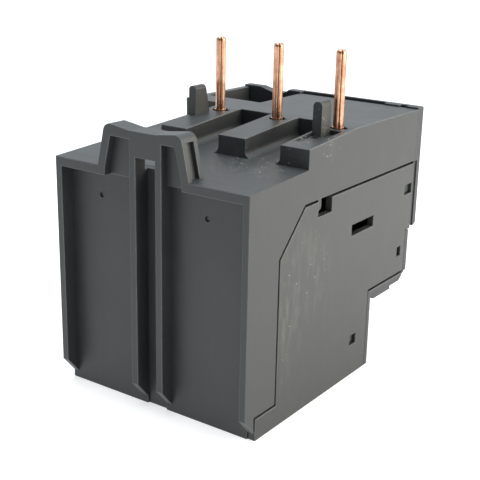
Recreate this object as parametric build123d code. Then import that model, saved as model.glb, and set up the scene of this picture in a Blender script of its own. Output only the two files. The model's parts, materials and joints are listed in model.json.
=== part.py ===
"""Three-pole thermal overload relay, 45 mm wide, that plugs into a contactor by three pins.

Frame: +Z up, the way the pins point. The front, with its dial and buttons, faces -Y,
and +X is to the right of someone who looks at that front. The origin is the middle
of the footprint, on the surface that the relay stands on. All sizes are millimetres.
"""

import math
import os

from build123d import *

# Overall envelope
WIDTH = 45.0
BODY_DEPTH = 64.5
BUTTON_PROUD = 5.5
LEDGE_HEIGHT = 47.0
LEDGE_RISE = 0.048
DECK_STEP = 3.7168
DECK_RISE = 0.075
DECK_FALL = 0.009
PIN_TOP = 67.5

# Stepped front: how far the two lower steps lie behind the front, and their heights
MID_DEPTH = 3.1
LOW_DEPTH = 19.1
PANEL_BOTTOM = 26.4
MID_BOTTOM = 16.4
PANEL_THICK = 2.5
MID_PLATE = 1.4
LOW_PLATE = 1.2
PANEL_LIP = 0.4
GAP_WIDE = 1.1
GAP_DEEP = 0.3

# Walls and fits
WALL = 1.8
SIDE_WALL = 1.6
INNER_WALL = 1.5
SEAM = 0.15
RUNNING = 0.05
LOOSE = 0.3

# Rear face: rims, ribs and the lug that hooks behind the contactor
RECESS = 3.0
RIM = 1.4
STRIP = 1.8
RIB = 1.45
SLOT_WIDTH = 4.55
SLOT_EXTRA = 0.4
SLOT_X = 0.3
FOOT_CHAMFER_TOP = 5.0
FOOT_CHAMFER_BOTTOM = 1.5
LUG_X = 1.0
LUG_BASE = 21.2
LUG_TOP = 17.6
LUG_HEIGHT = 8.2
LUG_DIP = 0.8
LUG_DEPTH = 4.2
LUG_CORNER = 1.6
LUG_FLANGE = 1.1
LUG_GROOVE = 0.9
LUG_WALL = 1.6
LUG_POCKET = 1.6
EYE_TOP = 2.5
EJECTOR_R = 0.55
EJECTOR_DEEP = 0.3
EJECTOR_X = 12.5
EJECTOR_Z = 40.3

# Fingers, channels, pins and the pocket in the top, as depths behind the front
FINGER_REAR = 46.1
CHANNEL_FRONT = 27.5
RIDGE_DEPTH = 29.5
PIN_PITCH = 13.97
PIN_X = -5.2
PIN_DEPTH = 30.7
PIN_R = 1.0
PIN_ROOT_R = 1.2
PIN_GROOVE = 0.35
PIN_GROOVE_TURN = 37.0
PIN_CHAMFER = 0.35
PIN_RISE = 0.12
PIN_WELL = 0.35
PIN_MOUTH = 2.0
PIN_MOUTH_DEEP = 0.8
ARM_THICK = 1.0
ARM_WIDTH = 1.5
FINGER_WIDTH = 6.2
FINGER_SHIFT = -0.1
CHANNEL_FILLET = 1.4
LOW_SHOULDER = 24.5
POCKET_X = 7.0
POCKET_REAR = 18.7
POCKET_FLOOR = 45.0
POCKET_WALL = 1.3
POST_HEIGHT = 5.9
POST_DEPTH = 3.3
POST_THICK = 1.7
POST_FLARE = 1.2

# Poles, heaters and trip bars. The bulkhead stands behind the main tabs, the strips behind it
POLE_PITCH = 14.0
BULKHEAD_DEPTH = 6.0
STRIP_DEPTH = 8.0
STRIP_WIDTH = 5.0
STRIP_THICK = 0.9
STRIP_TOP = 38.5
BAR_THICK = 1.2
BAR_WIDTH = 8.0
BAR_LOW = 34.3
BAR_GAP = 0.3
PEG_X = 2.4
PEG_SET = 3.0
PEG_R = 0.6
TRIP_TRAVEL = 1.6
RIBBON = 0.6
BAND_HEIGHT = 1.8
BAND_PITCH = 2.6
BAND_COUNT = 4
BAND_START = 17.5
PARTITION = 1.2
BUSBAR_TOP = 14.8
BUSBAR_THICK = 1.2
BUSBAR_WIDTH = 5.0

# Main terminals, with the depth of their tabs behind the low step
MAIN_SCREW_Z = 9.5
MAIN_SCREW_R = 2.0
MAIN_HEAD_R = 3.5
MAIN_HEAD = 3.0
MAIN_CHAMBER = 11.2
MAIN_WIRE_GAP = 4.4
MAIN_TAB_DEPTH = 10.4
MAIN_TAB_WIDTH = 8.8
MAIN_TAB_LOW = 4.0
MAIN_SCREW_REACH = 1.4
MAIN_WASHER = 8.0
WASHER_THICK = 1.2

# Auxiliary terminals, with the depth of their tabs behind the middle step
AUX_PITCH = 10.8
AUX_SCREW_Z = 21.0
AUX_SCREW_R = 1.5
AUX_HEAD_R = 2.8
AUX_HEAD = 2.4
AUX_CHAMBER = 8.4
AUX_WIRE_GAP = 4.3
AUX_TAB_DEPTH = 10.0
AUX_SCREW_REACH = 1.2
AUX_TAB = 1.0
AUX_WASHER = 6.0
AUX_BACK_DEPTH = 0.6
RAIL_BOTTOM = 14.0
RAIL_STEP = 0.7

# Windows in the side cover, each behind the piece that snaps into it, and the noses
PANEL_SNAP = 0.7
PANEL_SNAP_LONG = 3.3
PANEL_SNAP_LOW = 34.6
PANEL_SNAP_TALL = 2.2
AUX_SNAP = 2.0
AUX_SNAP_LONG = 1.6
AUX_SNAP_LOW = 21.2
AUX_SNAP_TALL = 2.1
MAIN_SNAP = 4.5
MAIN_SNAP_LONG = 2.4
MAIN_SNAP_LOW = 6.9
MAIN_SNAP_TALL = 2.2
NOSE_GAP = 0.2
NOSE_RAMP = 0.5
NOSE_INSET = 0.7
VIEW_DEPTH = 20.0
VIEW_LONG = 8.9
VIEW_LOW = 31.1
VIEW_TALL = 2.3
NOTCH_DEPTH = 22.4
NOTCH_LONG = 4.9
NOTCH_LOW = 38.1
COVER_TOP = 41.4
COVER_GAP = 0.35

# Trip mechanism
ROCKER_Z = 45.5
ROCKER_PIN_R = 1.0
ROCKER_HUB_R = 1.8
ROCKER_ANGLE = 8.0
ROCKER_BOSS = 6.0
ROCKER_SEAT = 3.3
CONTACT_Z = 32.0
CONTACT_R = 1.0
BRIDGE_OFFSET = 1.1
BRIDGE_THICK = 0.5
BUTTON_TALL = 0.75
LEVER_X = 4.2
LEVER_Z = 42.0
LEVER_PIN_R = 0.9
NOSE_Z = 33.1
LEVER_TIP_Z = 48.5
LEVER_TIP_GAP = 0.9

# Front controls
DIAL_X = -9.5
DIAL_Z = 41.7
DIAL_R = 6.2
DIAL_PROUD = 2.8
DIAL_SHAFT_R = 3.0
CAM_START = 3.6
CAM_LIFT = 2.0
DIAL_SWEEP = 270.0
RESET_X = 14.5
RESET_Z = 35.5
RESET_R = 3.6
RESET_TRAVEL = 2.5
SLEEVE_R = 4.6
SLEEVE_RIM = 5.4
SLEEVE_PROUD = 1.5
STOP_X = 7.6
STOP_Z = 31.3
STOP_R = 2.3
STOP_PROUD = 3.0
STOP_TRAVEL = 2.0
TEST_X = 5.4
TEST_Z = 37.0
TEST_WIDTH = 2.2
TEST_TALL = 1.8
TEST_TRAVEL = 1.6
FLAP_LEFT = -18.0
FLAP_RIGHT = 2.6
FLAP_BOTTOM = 31.0
FLAP_PROUD = 4.4
FLAP_SKIN = 0.9
HINGE_Z = 51.0
HINGE_OUT = 1.7
HINGE_PIN_R = 0.7
KNUCKLE_R = 1.35
KNUCKLE = 3.0
EAR = 1.4

# Places worked out from the sizes above
half = WIDTH / 2
rear = (BODY_DEPTH + BUTTON_PROUD) / 2
front = rear - BODY_DEPTH
panel_back = front + PANEL_THICK
mid_front = front + MID_DEPTH
mid_back = mid_front + MID_PLATE
low_front = front + LOW_DEPTH
low_back = low_front + LOW_PLATE
skin = rear - RECESS
inner_rear = skin - WALL
finger_rear = front + FINGER_REAR
channel_front = front + CHANNEL_FRONT
ridge_y = front + RIDGE_DEPTH
pin_y = front + PIN_DEPTH
tab_front = low_front + MAIN_TAB_DEPTH
bulkhead = tab_front + BULKHEAD_DEPTH
strip_y = bulkhead + STRIP_DEPTH
side_in = half - SIDE_WALL
pin_xs = [PIN_X - PIN_PITCH, PIN_X, PIN_X + PIN_PITCH]
pole_xs = [-POLE_PITCH, 0.0, POLE_PITCH]
aux_xs = [AUX_PITCH * (i - 1.5) for i in range(4)]
ledge_roof = LEDGE_HEIGHT - 3.0


def block(x0, x1, y0, y1, z0, z1):
    """A box between two corners."""
    size = Box(x1 - x0, y1 - y0, z1 - z0)
    return Pos((x0 + x1) / 2, (y0 + y1) / 2, (z0 + z1) / 2) * size


def prism_x(points, x0, x1):
    """A solid with an outline of (y, z) points, from x0 to x1."""
    face = make_face(Polyline(*points, close=True))
    return extrude(Plane.YZ.offset(x0) * face, amount=x1 - x0)


def prism_y(points, y0, y1):
    """A solid with an outline of (x, z) points, from y0 to y1."""
    face = make_face(Polyline(*points, close=True))
    return extrude(Plane.XZ.offset(-y1) * face, amount=y1 - y0)


def prism_z(points, z0, z1):
    """A solid with an outline of (x, y) points, from z0 to z1."""
    face = make_face(Polyline(*points, close=True))
    return extrude(Plane.XY.offset(z0) * face, amount=z1 - z0)


def rod_x(y, z, x0, x1, r):
    """A round bar along X."""
    return extrude(Plane.YZ.offset(x0) * Pos(y, z) * Circle(r), amount=x1 - x0)


def rod_y(x, z, y0, y1, r):
    """A round bar along Y."""
    return extrude(Plane.XZ.offset(-y1) * Pos(x, z) * Circle(r), amount=y1 - y0)


def rod_z(x, y, z0, z1, r):
    """A round bar along Z."""
    return extrude(Plane.XY.offset(z0) * Pos(x, y) * Circle(r), amount=z1 - z0)


def ledge_z(y):
    """Height of the gently rising rear ledge."""
    return LEDGE_HEIGHT + LEDGE_RISE * (rear - y)


def deck_z(y):
    """Height of the deck, which rises to a ridge by the pins and then falls a little."""
    low_end = ledge_z(finger_rear) + DECK_STEP
    if y > ridge_y:
        return low_end + DECK_RISE * (finger_rear - y)
    return low_end + DECK_RISE * (finger_rear - ridge_y) - DECK_FALL * (ridge_y - y)


# Values that several pieces share
panel_top = deck_z(panel_back) + PANEL_LIP
deck_roof = deck_z(finger_rear) - 1.3
mech_rear = channel_front - WALL
aux_back = low_front + AUX_BACK_DEPTH
shelf = MID_BOTTOM + INNER_WALL
aux_roof = PANEL_BOTTOM - 0.2
driver_low = BAR_LOW + BAR_THICK + BAR_GAP
driver_top = driver_low + BAR_THICK
window_low = BAR_LOW - LOOSE
window_top = driver_top + LOOSE
tab_back = tab_front + BUSBAR_THICK
main_washer_back = tab_front - MAIN_WIRE_GAP
main_head_back = main_washer_back - WASHER_THICK - RUNNING
aux_tab_front = mid_front + AUX_TAB_DEPTH
aux_tab_back = aux_tab_front + AUX_TAB
aux_washer_back = aux_tab_front - AUX_WIRE_GAP
aux_head_back = aux_washer_back - AUX_TAB - RUNNING
tail_back = strip_y - BAR_WIDTH / 2 - 1.2
reset_seat = aux_back + INNER_WALL
stop_seat = aux_tab_front - 1.0


def snap_window(face, gap, length, low, tall):
    """Reach in y and z of a window in the side cover, a gap behind a piece's rear face."""
    return face + gap, face + gap + length, low, low + tall


panel_window = snap_window(panel_back, PANEL_SNAP, PANEL_SNAP_LONG, PANEL_SNAP_LOW, PANEL_SNAP_TALL)
aux_window = snap_window(mid_back, AUX_SNAP, AUX_SNAP_LONG, AUX_SNAP_LOW, AUX_SNAP_TALL)
main_window = snap_window(low_back, MAIN_SNAP, MAIN_SNAP_LONG, MAIN_SNAP_LOW, MAIN_SNAP_TALL)
view_window = snap_window(front, VIEW_DEPTH, VIEW_LONG, VIEW_LOW, VIEW_TALL)
notch_front = rear - NOTCH_DEPTH - NOTCH_LONG
notch_window = snap_window(notch_front, 0.0, NOTCH_LONG, NOTCH_LOW, COVER_TOP - NOTCH_LOW + 1.0)


def make_nose(window, root):
    """A wedge that snaps into a window of the side cover from a face at -root."""
    y0 = window[0] + NOSE_GAP
    y1 = window[1] - NOSE_GAP
    outer = -half + NOSE_INSET
    wedge = [(-root, y0), (outer, y0), (outer, y1 - NOSE_RAMP), (-root, y1)]
    return prism_z(wedge, window[2] + NOSE_GAP, window[3] - NOSE_GAP)


# Outline of the side cover, as (y, z) points, grown or shrunk by a margin
def cover_outline(grow):
    heel = rear - 2.95
    step = rear - 9.66
    shoulder = rear - 17.71
    return [
        (heel + grow, -grow if grow > 0 else 0.0),
        (heel + grow, 4.76 + grow),
        (step + grow, 4.76 + grow),
        (step + grow, 33.15 + grow / 2),
        (shoulder + grow / 2, COVER_TOP + grow),
        (panel_back - max(grow, 0.0) + SEAM, COVER_TOP + grow),
        (panel_back - max(grow, 0.0) + SEAM, PANEL_BOTTOM + 0.5),
        (mid_back - max(grow, 0.0) + SEAM, PANEL_BOTTOM),
        (mid_back - max(grow, 0.0) + SEAM, MID_BOTTOM + 0.5 - grow),
        (low_back - max(grow, 0.0) + SEAM, MID_BOTTOM + 0.5 - grow),
        (low_back - max(grow, 0.0) + SEAM, -grow if grow > 0 else 0.0),
    ]


# Rear lug: two flanges on a web, with a shallow dip along the top
def lug_outline(inset):
    base = LUG_BASE / 2 - inset
    top = LUG_TOP / 2 - inset
    foot = LEDGE_HEIGHT
    peak = LEDGE_HEIGHT + LUG_HEIGHT - inset
    left = LUG_X - top
    right = LUG_X + top
    return Polyline(
        (LUG_X - base, foot - 1.0),
        (LUG_X - base, foot),
        (left, peak),
        (LUG_X - top / 3, peak - LUG_DIP),
        (LUG_X + top / 3, peak - LUG_DIP),
        (right, peak),
        (LUG_X + base, foot),
        (LUG_X + base, foot - 1.0),
        close=True,
    )


def lug_plate(y0, y1, inset):
    face = make_face(lug_outline(inset))
    face = fillet(face.vertices().group_by(Axis.Y)[-2], LUG_CORNER * 2)
    face = fillet(face.vertices().group_by(Axis.Y)[-1], LUG_CORNER)
    return extrude(Plane.XZ.offset(-y1) * face, amount=y1 - y0)


def make_lug():
    flange_in = rear - LUG_FLANGE
    front_flange = rear - LUG_DEPTH + LUG_FLANGE * 0.9
    lug = lug_plate(rear - LUG_DEPTH, rear, 0.0)
    top = LEDGE_HEIGHT + LUG_HEIGHT - LUG_CORNER
    slope = (LUG_BASE - LUG_TOP) / 2 / LUG_HEIGHT
    for side in (-1, 1):
        foot_x = LUG_X + side * (LUG_BASE / 2 - LUG_GROOVE)
        top_x = foot_x - side * slope * (top - LEDGE_HEIGHT)
        out_x = foot_x + side * LUG_GROOVE * 3
        groove = [(foot_x, ledge_z(rear)), (top_x, top), (out_x, top), (out_x, ledge_z(rear))]
        lug -= prism_y(groove, front_flange, flange_in)
    return lug


def make_rear_pockets():
    """The two deep pockets left and right of the central band, open downwards."""
    band_left = SLOT_X - SLOT_WIDTH / 2 - RIB
    band_right = SLOT_X + SLOT_WIDTH / 2 + RIB
    low = LEDGE_HEIGHT - STRIP - 1.0
    top = LEDGE_HEIGHT + LUG_HEIGHT - LUG_DIP - LUG_WALL
    outer_low = LUG_BASE / 2 - LUG_WALL
    outer_top = LUG_TOP / 2 - LUG_WALL + 0.3
    pockets = []
    for side, inner in ((-1, band_left), (1, band_right)):
        points = [
            (inner, low),
            (inner, top),
            (LUG_X + side * outer_top, top),
            (LUG_X + side * outer_low, LEDGE_HEIGHT - 0.5),
            (LUG_X + side * outer_low, low),
        ]
        pockets.append(prism_y(points, rear - LUG_POCKET, rear + 1.0))
    return pockets


def make_post(x0, x1, y_rear, flare):
    """A round-topped post that reaches up between the contactor's terminals."""
    base = ledge_z(finger_rear)
    foot = deck_z(y_rear) + 0.6
    top = deck_z(y_rear) + POST_HEIGHT
    y_front = y_rear - POST_DEPTH
    points = [
        (y_rear + 0.2, base),
        (y_rear, top),
        (y_front, top),
        (y_front - flare, foot),
        (y_front - flare, base),
    ]
    post = prism_x(points, x0, x1)
    post = fillet(post.edges().filter_by(Axis.Y).group_by(Axis.Z)[-1], (x1 - x0) * 0.45)
    return post


def make_channel(x0, x1, y0, y1):
    """A channel cut with rounded floor corners, its floor level with the ledge."""
    floor = ledge_z(y0)
    high = deck_z(y0) + 3.0
    face = make_face(Polyline((x0, floor), (x1, floor), (x1, high), (x0, high), close=True))
    face = fillet(face.vertices().group_by(Axis.Y)[0], CHANNEL_FILLET)
    tool = extrude(Plane.XZ.offset(-y1) * face, amount=y1 - y0)
    slope = math.degrees(math.atan(LEDGE_RISE))
    return Pos(0, y0, floor) * Rot(-slope, 0, 0) * Pos(0, -y0, -floor) * tool


def make_housing():
    outline = [
        (skin, 0.0),
        (skin, ledge_z(skin)),
        (finger_rear, ledge_z(finger_rear)),
        (finger_rear, deck_z(finger_rear)),
        (ridge_y, deck_z(ridge_y)),
        (panel_back, deck_z(panel_back)),
        (panel_back, PANEL_BOTTOM),
        (mid_back, PANEL_BOTTOM),
        (mid_back, MID_BOTTOM),
        (low_back, MID_BOTTOM),
        (low_back, 0.0),
    ]
    body = prism_x(outline, -half, half)

    # Rims, top strip and central ribs stand proud of the rear skin
    deep = skin - 0.6
    rim = [
        (deep, FOOT_CHAMFER_BOTTOM),
        (skin, FOOT_CHAMFER_BOTTOM),
        (rear, FOOT_CHAMFER_TOP),
        (rear, LEDGE_HEIGHT),
        (deep, ledge_z(deep) - 0.01),
    ]
    strip = [
        (deep, LEDGE_HEIGHT - STRIP),
        (rear, LEDGE_HEIGHT - STRIP),
        (rear, LEDGE_HEIGHT),
        (deep, ledge_z(deep) - 0.01),
    ]
    rib_left = SLOT_X - SLOT_WIDTH / 2 - RIB
    rib_right = SLOT_X + SLOT_WIDTH / 2
    body += prism_x(rim, -half, -half + RIM)
    body += prism_x(rim, half - RIM, half)
    body += prism_x(strip, -half, half)
    body += prism_x(rim, rib_left, rib_left + RIB)
    body += prism_x(rim, rib_right, rib_right + RIB)
    body += make_lug()
    for pocket in make_rear_pockets():
        body -= pocket
    slot_left = SLOT_X - SLOT_WIDTH / 2
    slot_right = SLOT_X + SLOT_WIDTH / 2
    groove = skin - SLOT_EXTRA
    body -= block(slot_left, slot_right, groove, rear + 1, -1.0, LEDGE_HEIGHT - 0.4)
    eye_floor = ledge_z(groove)
    body -= block(slot_left, slot_right, groove, rear + 1, LEDGE_HEIGHT - 1.0, eye_floor + EYE_TOP)
    body -= block(slot_left, slot_right, skin - 1.5, groove + 0.1, eye_floor, eye_floor + EYE_TOP)
    body -= block(
        slot_left - 1.2, slot_right + 1.2, rear - LUG_DEPTH - 0.5, skin + 0.2, eye_floor, eye_floor + EYE_TOP
    )

    # Channels between the fingers, and the low shoulder on the far side
    slots = [(pin_xs[0], pin_xs[1]), (pin_xs[1], pin_xs[2])]
    for left_pin, right_pin in slots:
        x0 = left_pin + FINGER_SHIFT + FINGER_WIDTH / 2
        x1 = right_pin + FINGER_SHIFT - FINGER_WIDTH / 2
        body -= make_channel(x0, x1, channel_front, finger_rear + 1.0)
    shoulder_x = pin_xs[2] + FINGER_SHIFT + FINGER_WIDTH / 2
    shoulder_front = front + LOW_SHOULDER
    body -= make_channel(shoulder_x, half + 3.0, shoulder_front, finger_rear + 1.0)

    # Inner chambers, all open towards the side cover
    rear_cell = [
        (bulkhead, WALL),
        (inner_rear, WALL),
        (inner_rear, ledge_roof),
        (bulkhead, ledge_roof),
    ]
    mechanism = [
        (bulkhead - INNER_WALL, shelf),
        (bulkhead - INNER_WALL, ledge_roof),
        (mech_rear, ledge_roof),
        (mech_rear, deck_roof),
        (panel_back - 1.0, deck_roof),
        (panel_back - 1.0, PANEL_BOTTOM + INNER_WALL),
        (aux_back + INNER_WALL, PANEL_BOTTOM + INNER_WALL),
        (aux_back + INNER_WALL, shelf),
    ]
    main_bay = [
        (low_back - 1.0, WALL),
        (bulkhead - INNER_WALL, WALL),
        (bulkhead - INNER_WALL, MID_BOTTOM),
        (low_back - 1.0, MID_BOTTOM),
    ]
    aux_bay = [
        (mid_back - 1.0, MID_BOTTOM - 1.0),
        (aux_back, MID_BOTTOM - 1.0),
        (aux_back, aux_roof),
        (mid_back - 1.0, aux_roof),
    ]
    body -= prism_x(rear_cell, -side_in, side_in)
    body -= prism_x(mechanism, -side_in, side_in)
    body -= prism_x(main_bay, -side_in, side_in)
    body -= prism_x(aux_bay, -side_in, side_in)

    # Ways through the inner walls
    body -= block(-side_in, side_in, bulkhead - 2, bulkhead + 1, window_low - 0.8, ledge_roof)
    for x in pole_xs:
        body -= block(
            x - BUSBAR_WIDTH / 2 - SEAM,
            x + BUSBAR_WIDTH / 2 + SEAM,
            bulkhead - 2,
            bulkhead + 1,
            BUSBAR_TOP - BUSBAR_THICK - SEAM,
            BUSBAR_TOP + SEAM,
        )
        body -= block(
            x - MAIN_WASHER / 2 - 0.2, x + MAIN_WASHER / 2 + 0.2,
            main_washer_back - 0.2, tab_front,
            -1, WALL + 1,
        )
    for x in aux_xs:
        body -= block(x - 1.45, x + 1.45, aux_tab_front - 0.2, aux_tab_back + 0.2, aux_roof - 1, shelf + 11)

    # Walls between the poles, each with a window for the trip bars
    for x in (-POLE_PITCH / 2, POLE_PITCH / 2):
        wall = block(
            x - PARTITION / 2, x + PARTITION / 2,
            bulkhead - 0.5, inner_rear + 0.5,
            WALL - 0.5, ledge_roof + 0.5,
        )
        wall -= block(
            x - PARTITION,
            x + PARTITION,
            strip_y - BAR_WIDTH / 2 - LOOSE,
            strip_y + BAR_WIDTH / 2 + LOOSE,
            window_low,
            window_top,
        )
        body += wall

    # Corner pocket beside the deck, with its own floor
    pocket_rear = front + POCKET_REAR
    body += block(
        POCKET_X - POCKET_WALL, half - 0.5,
        panel_back, pocket_rear + POCKET_WALL,
        POCKET_FLOOR - 1.6, deck_roof + 0.5,
    )
    body -= block(
        POCKET_X, half - POCKET_WALL,
        panel_back - 1, pocket_rear,
        POCKET_FLOOR, deck_z(panel_back) + 3,
    )

    # Spring seats and the rear bearing of the rocker
    body += block(RESET_X - 4.0, side_in + 0.5, aux_back, reset_seat, shelf, RESET_Z + 4.0)
    body -= rod_y(RESET_X, RESET_Z, aux_back - 1, reset_seat + 1, 1.6 + LOOSE)
    stop_top = STOP_Z + 3.0
    body += block(STOP_X - 2.6, STOP_X + 2.6, stop_seat - 1.2, stop_seat, PANEL_BOTTOM + 0.5, stop_top)
    body -= rod_y(STOP_X, STOP_Z, stop_seat - 2, stop_seat + 1, 1.2 + LOOSE)
    body -= rod_y(0.0, ROCKER_Z, mech_rear - 1, mech_rear + ROCKER_SEAT, ROCKER_PIN_R + RUNNING)

    # Pin holes, and the two posts, one of them in a shallow well
    for x in pin_xs:
        body -= rod_z(x, pin_y, ledge_roof - 1, deck_z(pin_y) + 3, PIN_ROOT_R + RUNNING)
        mouth = deck_z(pin_y) - PIN_MOUTH_DEEP
        body -= rod_z(x, pin_y, mouth, deck_z(pin_y) + 1, PIN_ROOT_R + PIN_WELL)
        body -= block(x - PIN_MOUTH, x, pin_y - 0.5, pin_y + 0.5, mouth, deck_z(pin_y) + 1)
    post_right = pin_xs[0] + FINGER_SHIFT + FINGER_WIDTH / 2 - 0.6
    post_y = pin_y + 5.4
    well = [
        (post_y + 6.4, deck_z(post_y + 6.4) + 0.5),
        (post_y + 6.4, deck_z(post_y + 6.4) - 0.3),
        (post_y - POST_DEPTH, deck_z(post_y) - 0.7),
        (post_y - POST_DEPTH, deck_z(post_y) + 1.0),
    ]
    body -= prism_x(well, -half + 1.3, post_right + 0.1)
    body += make_post(post_right - POST_THICK - 0.3, post_right, post_y, 0.0)
    body -= block(
        post_right - 1.7, post_right - 0.2,
        post_y + 0.2, post_y + 1.3,
        ledge_z(post_y), deck_z(post_y),
    )
    body += make_post(shoulder_x - POST_THICK, shoulder_x, pin_y + 6.6, POST_FLARE)

    # Seat for the side cover, and the small catch that holds its upper edge
    body -= prism_x(cover_outline(SEAM), -half - 1.0, -side_in)
    catch_y = notch_window[1] - NOSE_GAP
    catch = [
        (catch_y, COVER_TOP + 1.0),
        (catch_y, NOTCH_LOW + 0.8),
        (catch_y - 1.2, NOTCH_LOW + 1.5),
        (catch_y - 1.2, COVER_TOP + 1.0),
    ]
    body += prism_x(catch, -half + 0.3, -side_in)

    # Marks that the ejector pins leave in the rear skin
    for x in (LUG_X + EJECTOR_X, LUG_X - EJECTOR_X):
        body -= rod_y(x, EJECTOR_Z, skin - EJECTOR_DEEP, skin + 1, EJECTOR_R)
    return body


def make_side_cover():
    cover = prism_x(cover_outline(-COVER_GAP), -half, -side_in - RUNNING)
    for y0, y1, z0, z1 in (view_window, panel_window, aux_window, main_window, notch_window):
        cover -= block(-half - 1, -side_in + 1, y0, y1, z0, z1)
    return cover


def make_front_panel():
    left_dip = [
        (10.4, panel_top + 1),
        (10.4, panel_top - 0.2),
        (11.8, panel_top - 0.9),
        (14.9, panel_top - 0.9),
        (17.8, panel_top - 0.1),
        (17.8, panel_top + 1),
    ]
    side = [
        (panel_back, PANEL_BOTTOM + 0.6),
        (front + 1.2, PANEL_BOTTOM + 0.2),
        (front, PANEL_BOTTOM + 0.8),
        (front, panel_top - 0.3),
        (front + 0.3, panel_top),
        (panel_back, panel_top),
    ]
    panel = prism_x(side, -half, half)
    panel -= prism_y(left_dip, front - 1, panel_back + 1)
    panel -= block(-14.3, POCKET_X, front + 1.0, panel_back + 1, deck_roof + 0.4, panel_top + 1)
    panel -= block(-19.6, -17.9, front + 1.3, panel_back + 1, deck_roof + 1.0, panel_top + 1)

    # Skirt that locates the panel in the housing
    inner = side_in - SEAM
    low = PANEL_BOTTOM + INNER_WALL + SEAM
    skirt = block(-inner, inner, panel_back - 0.5, panel_back + 2.0, low, POCKET_FLOOR - 1.6 - SEAM)
    skirt -= block(-inner + 1.2, inner - 1.2, panel_back - 1, panel_back + 3, low + 1.2, POCKET_FLOOR + 5)
    panel += skirt

    # Snap arm with its nose in the cover's square window
    arm_low = PANEL_SNAP_LOW + NOSE_GAP
    arm_top = PANEL_SNAP_LOW + PANEL_SNAP_TALL - NOSE_GAP
    panel += block(-inner, -inner + 1.3, panel_back - 0.5, panel_window[1] + 1.0, arm_low, arm_top)
    panel += make_nose(panel_window, inner)

    # Shadow gap along the side cover
    panel -= block(-half - 1, -half + GAP_DEEP, panel_back - GAP_WIDE, panel_back + 1, 0.0, COVER_TOP)

    # Bearing of the rocker pin, and the rails that guide the adjuster
    panel += rod_y(0.0, ROCKER_Z, panel_back - 0.5, panel_back + ROCKER_BOSS, ROCKER_HUB_R)
    panel -= rod_y(0.0, ROCKER_Z, panel_back + 1.0, panel_back + ROCKER_BOSS + 1, ROCKER_PIN_R + RUNNING)
    panel += block(-4.0, 8.4, panel_back - 0.5, panel_back + 3.4, DIAL_Z - 3.0, DIAL_Z - 1.8)
    panel += block(2.2, 5.4, panel_back - 0.5, panel_back + 3.4, DIAL_Z + 1.8, DIAL_Z + 2.8)

    # Openings for the controls
    panel -= block(STOP_X - 3.2, STOP_X + 3.2, panel_back + 0.2, panel_back + 3, low - 0.1, STOP_Z)
    panel -= rod_y(DIAL_X, DIAL_Z, front - 1, front + 1.2, DIAL_R + LOOSE)
    panel -= rod_y(DIAL_X, DIAL_Z, front - 1, panel_back + 1, DIAL_SHAFT_R + RUNNING)
    panel -= rod_y(RESET_X, RESET_Z, front - 1, panel_back + 3, SLEEVE_R + RUNNING)
    panel -= rod_y(STOP_X, STOP_Z, front - 1, panel_back + 3, STOP_R + RUNNING * 2)
    panel -= block(
        TEST_X - TEST_WIDTH / 2 - 0.2,
        TEST_X + TEST_WIDTH / 2 + TEST_TRAVEL + 0.2,
        front - 1,
        panel_back + 1,
        TEST_Z - TEST_TALL / 2 - 0.1,
        TEST_Z + TEST_TALL / 2 + 0.1,
    )
    panel -= block(-2.4, 2.4, front - 1, panel_back + 1, ROCKER_Z + 2.1, ROCKER_Z + 4.1)

    # Ears for the flap's hinge pin
    hinge_y = front - HINGE_OUT
    ears = [(FLAP_LEFT - LOOSE - EAR, FLAP_LEFT - LOOSE), (FLAP_RIGHT + LOOSE, FLAP_RIGHT + LOOSE + EAR)]
    for x0, x1 in ears:
        ear = rod_x(hinge_y, HINGE_Z, x0, x1, KNUCKLE_R)
        ear += block(x0, x1, hinge_y, front + 0.5, HINGE_Z - KNUCKLE_R, HINGE_Z + KNUCKLE_R)
        ear -= rod_x(hinge_y, HINGE_Z, x0 - 1, x1 + 1, HINGE_PIN_R + RUNNING)
        panel += ear
    return panel


def make_main_block():
    inner = side_in - SEAM
    y_back = bulkhead - INNER_WALL - SEAM - 1.3
    shape = block(-half, half, low_front, low_back, 0.0, MID_BOTTOM - SEAM)
    shape += block(-inner, inner, low_back - 0.5, y_back, WALL + SEAM, MID_BOTTOM - SEAM)
    for x in pole_xs:
        shape -= block(
            x - MAIN_CHAMBER / 2, x + MAIN_CHAMBER / 2, low_back, tab_back, WALL - 1, BUSBAR_TOP
        )
        shape -= rod_y(x, MAIN_SCREW_Z, low_front - 1, low_back + 1, MAIN_HEAD_R + 0.5)
        shape -= rod_y(x, MAIN_SCREW_Z, tab_back - 1, y_back + 1, MAIN_SCREW_R + LOOSE)
        shape -= block(
            x - BUSBAR_WIDTH / 2 - SEAM,
            x + BUSBAR_WIDTH / 2 + SEAM,
            tab_back - 1,
            y_back + 1,
            BUSBAR_TOP - BUSBAR_THICK - SEAM,
            BUSBAR_TOP + SEAM,
        )
    return shape + make_nose(main_window, inner)


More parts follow.
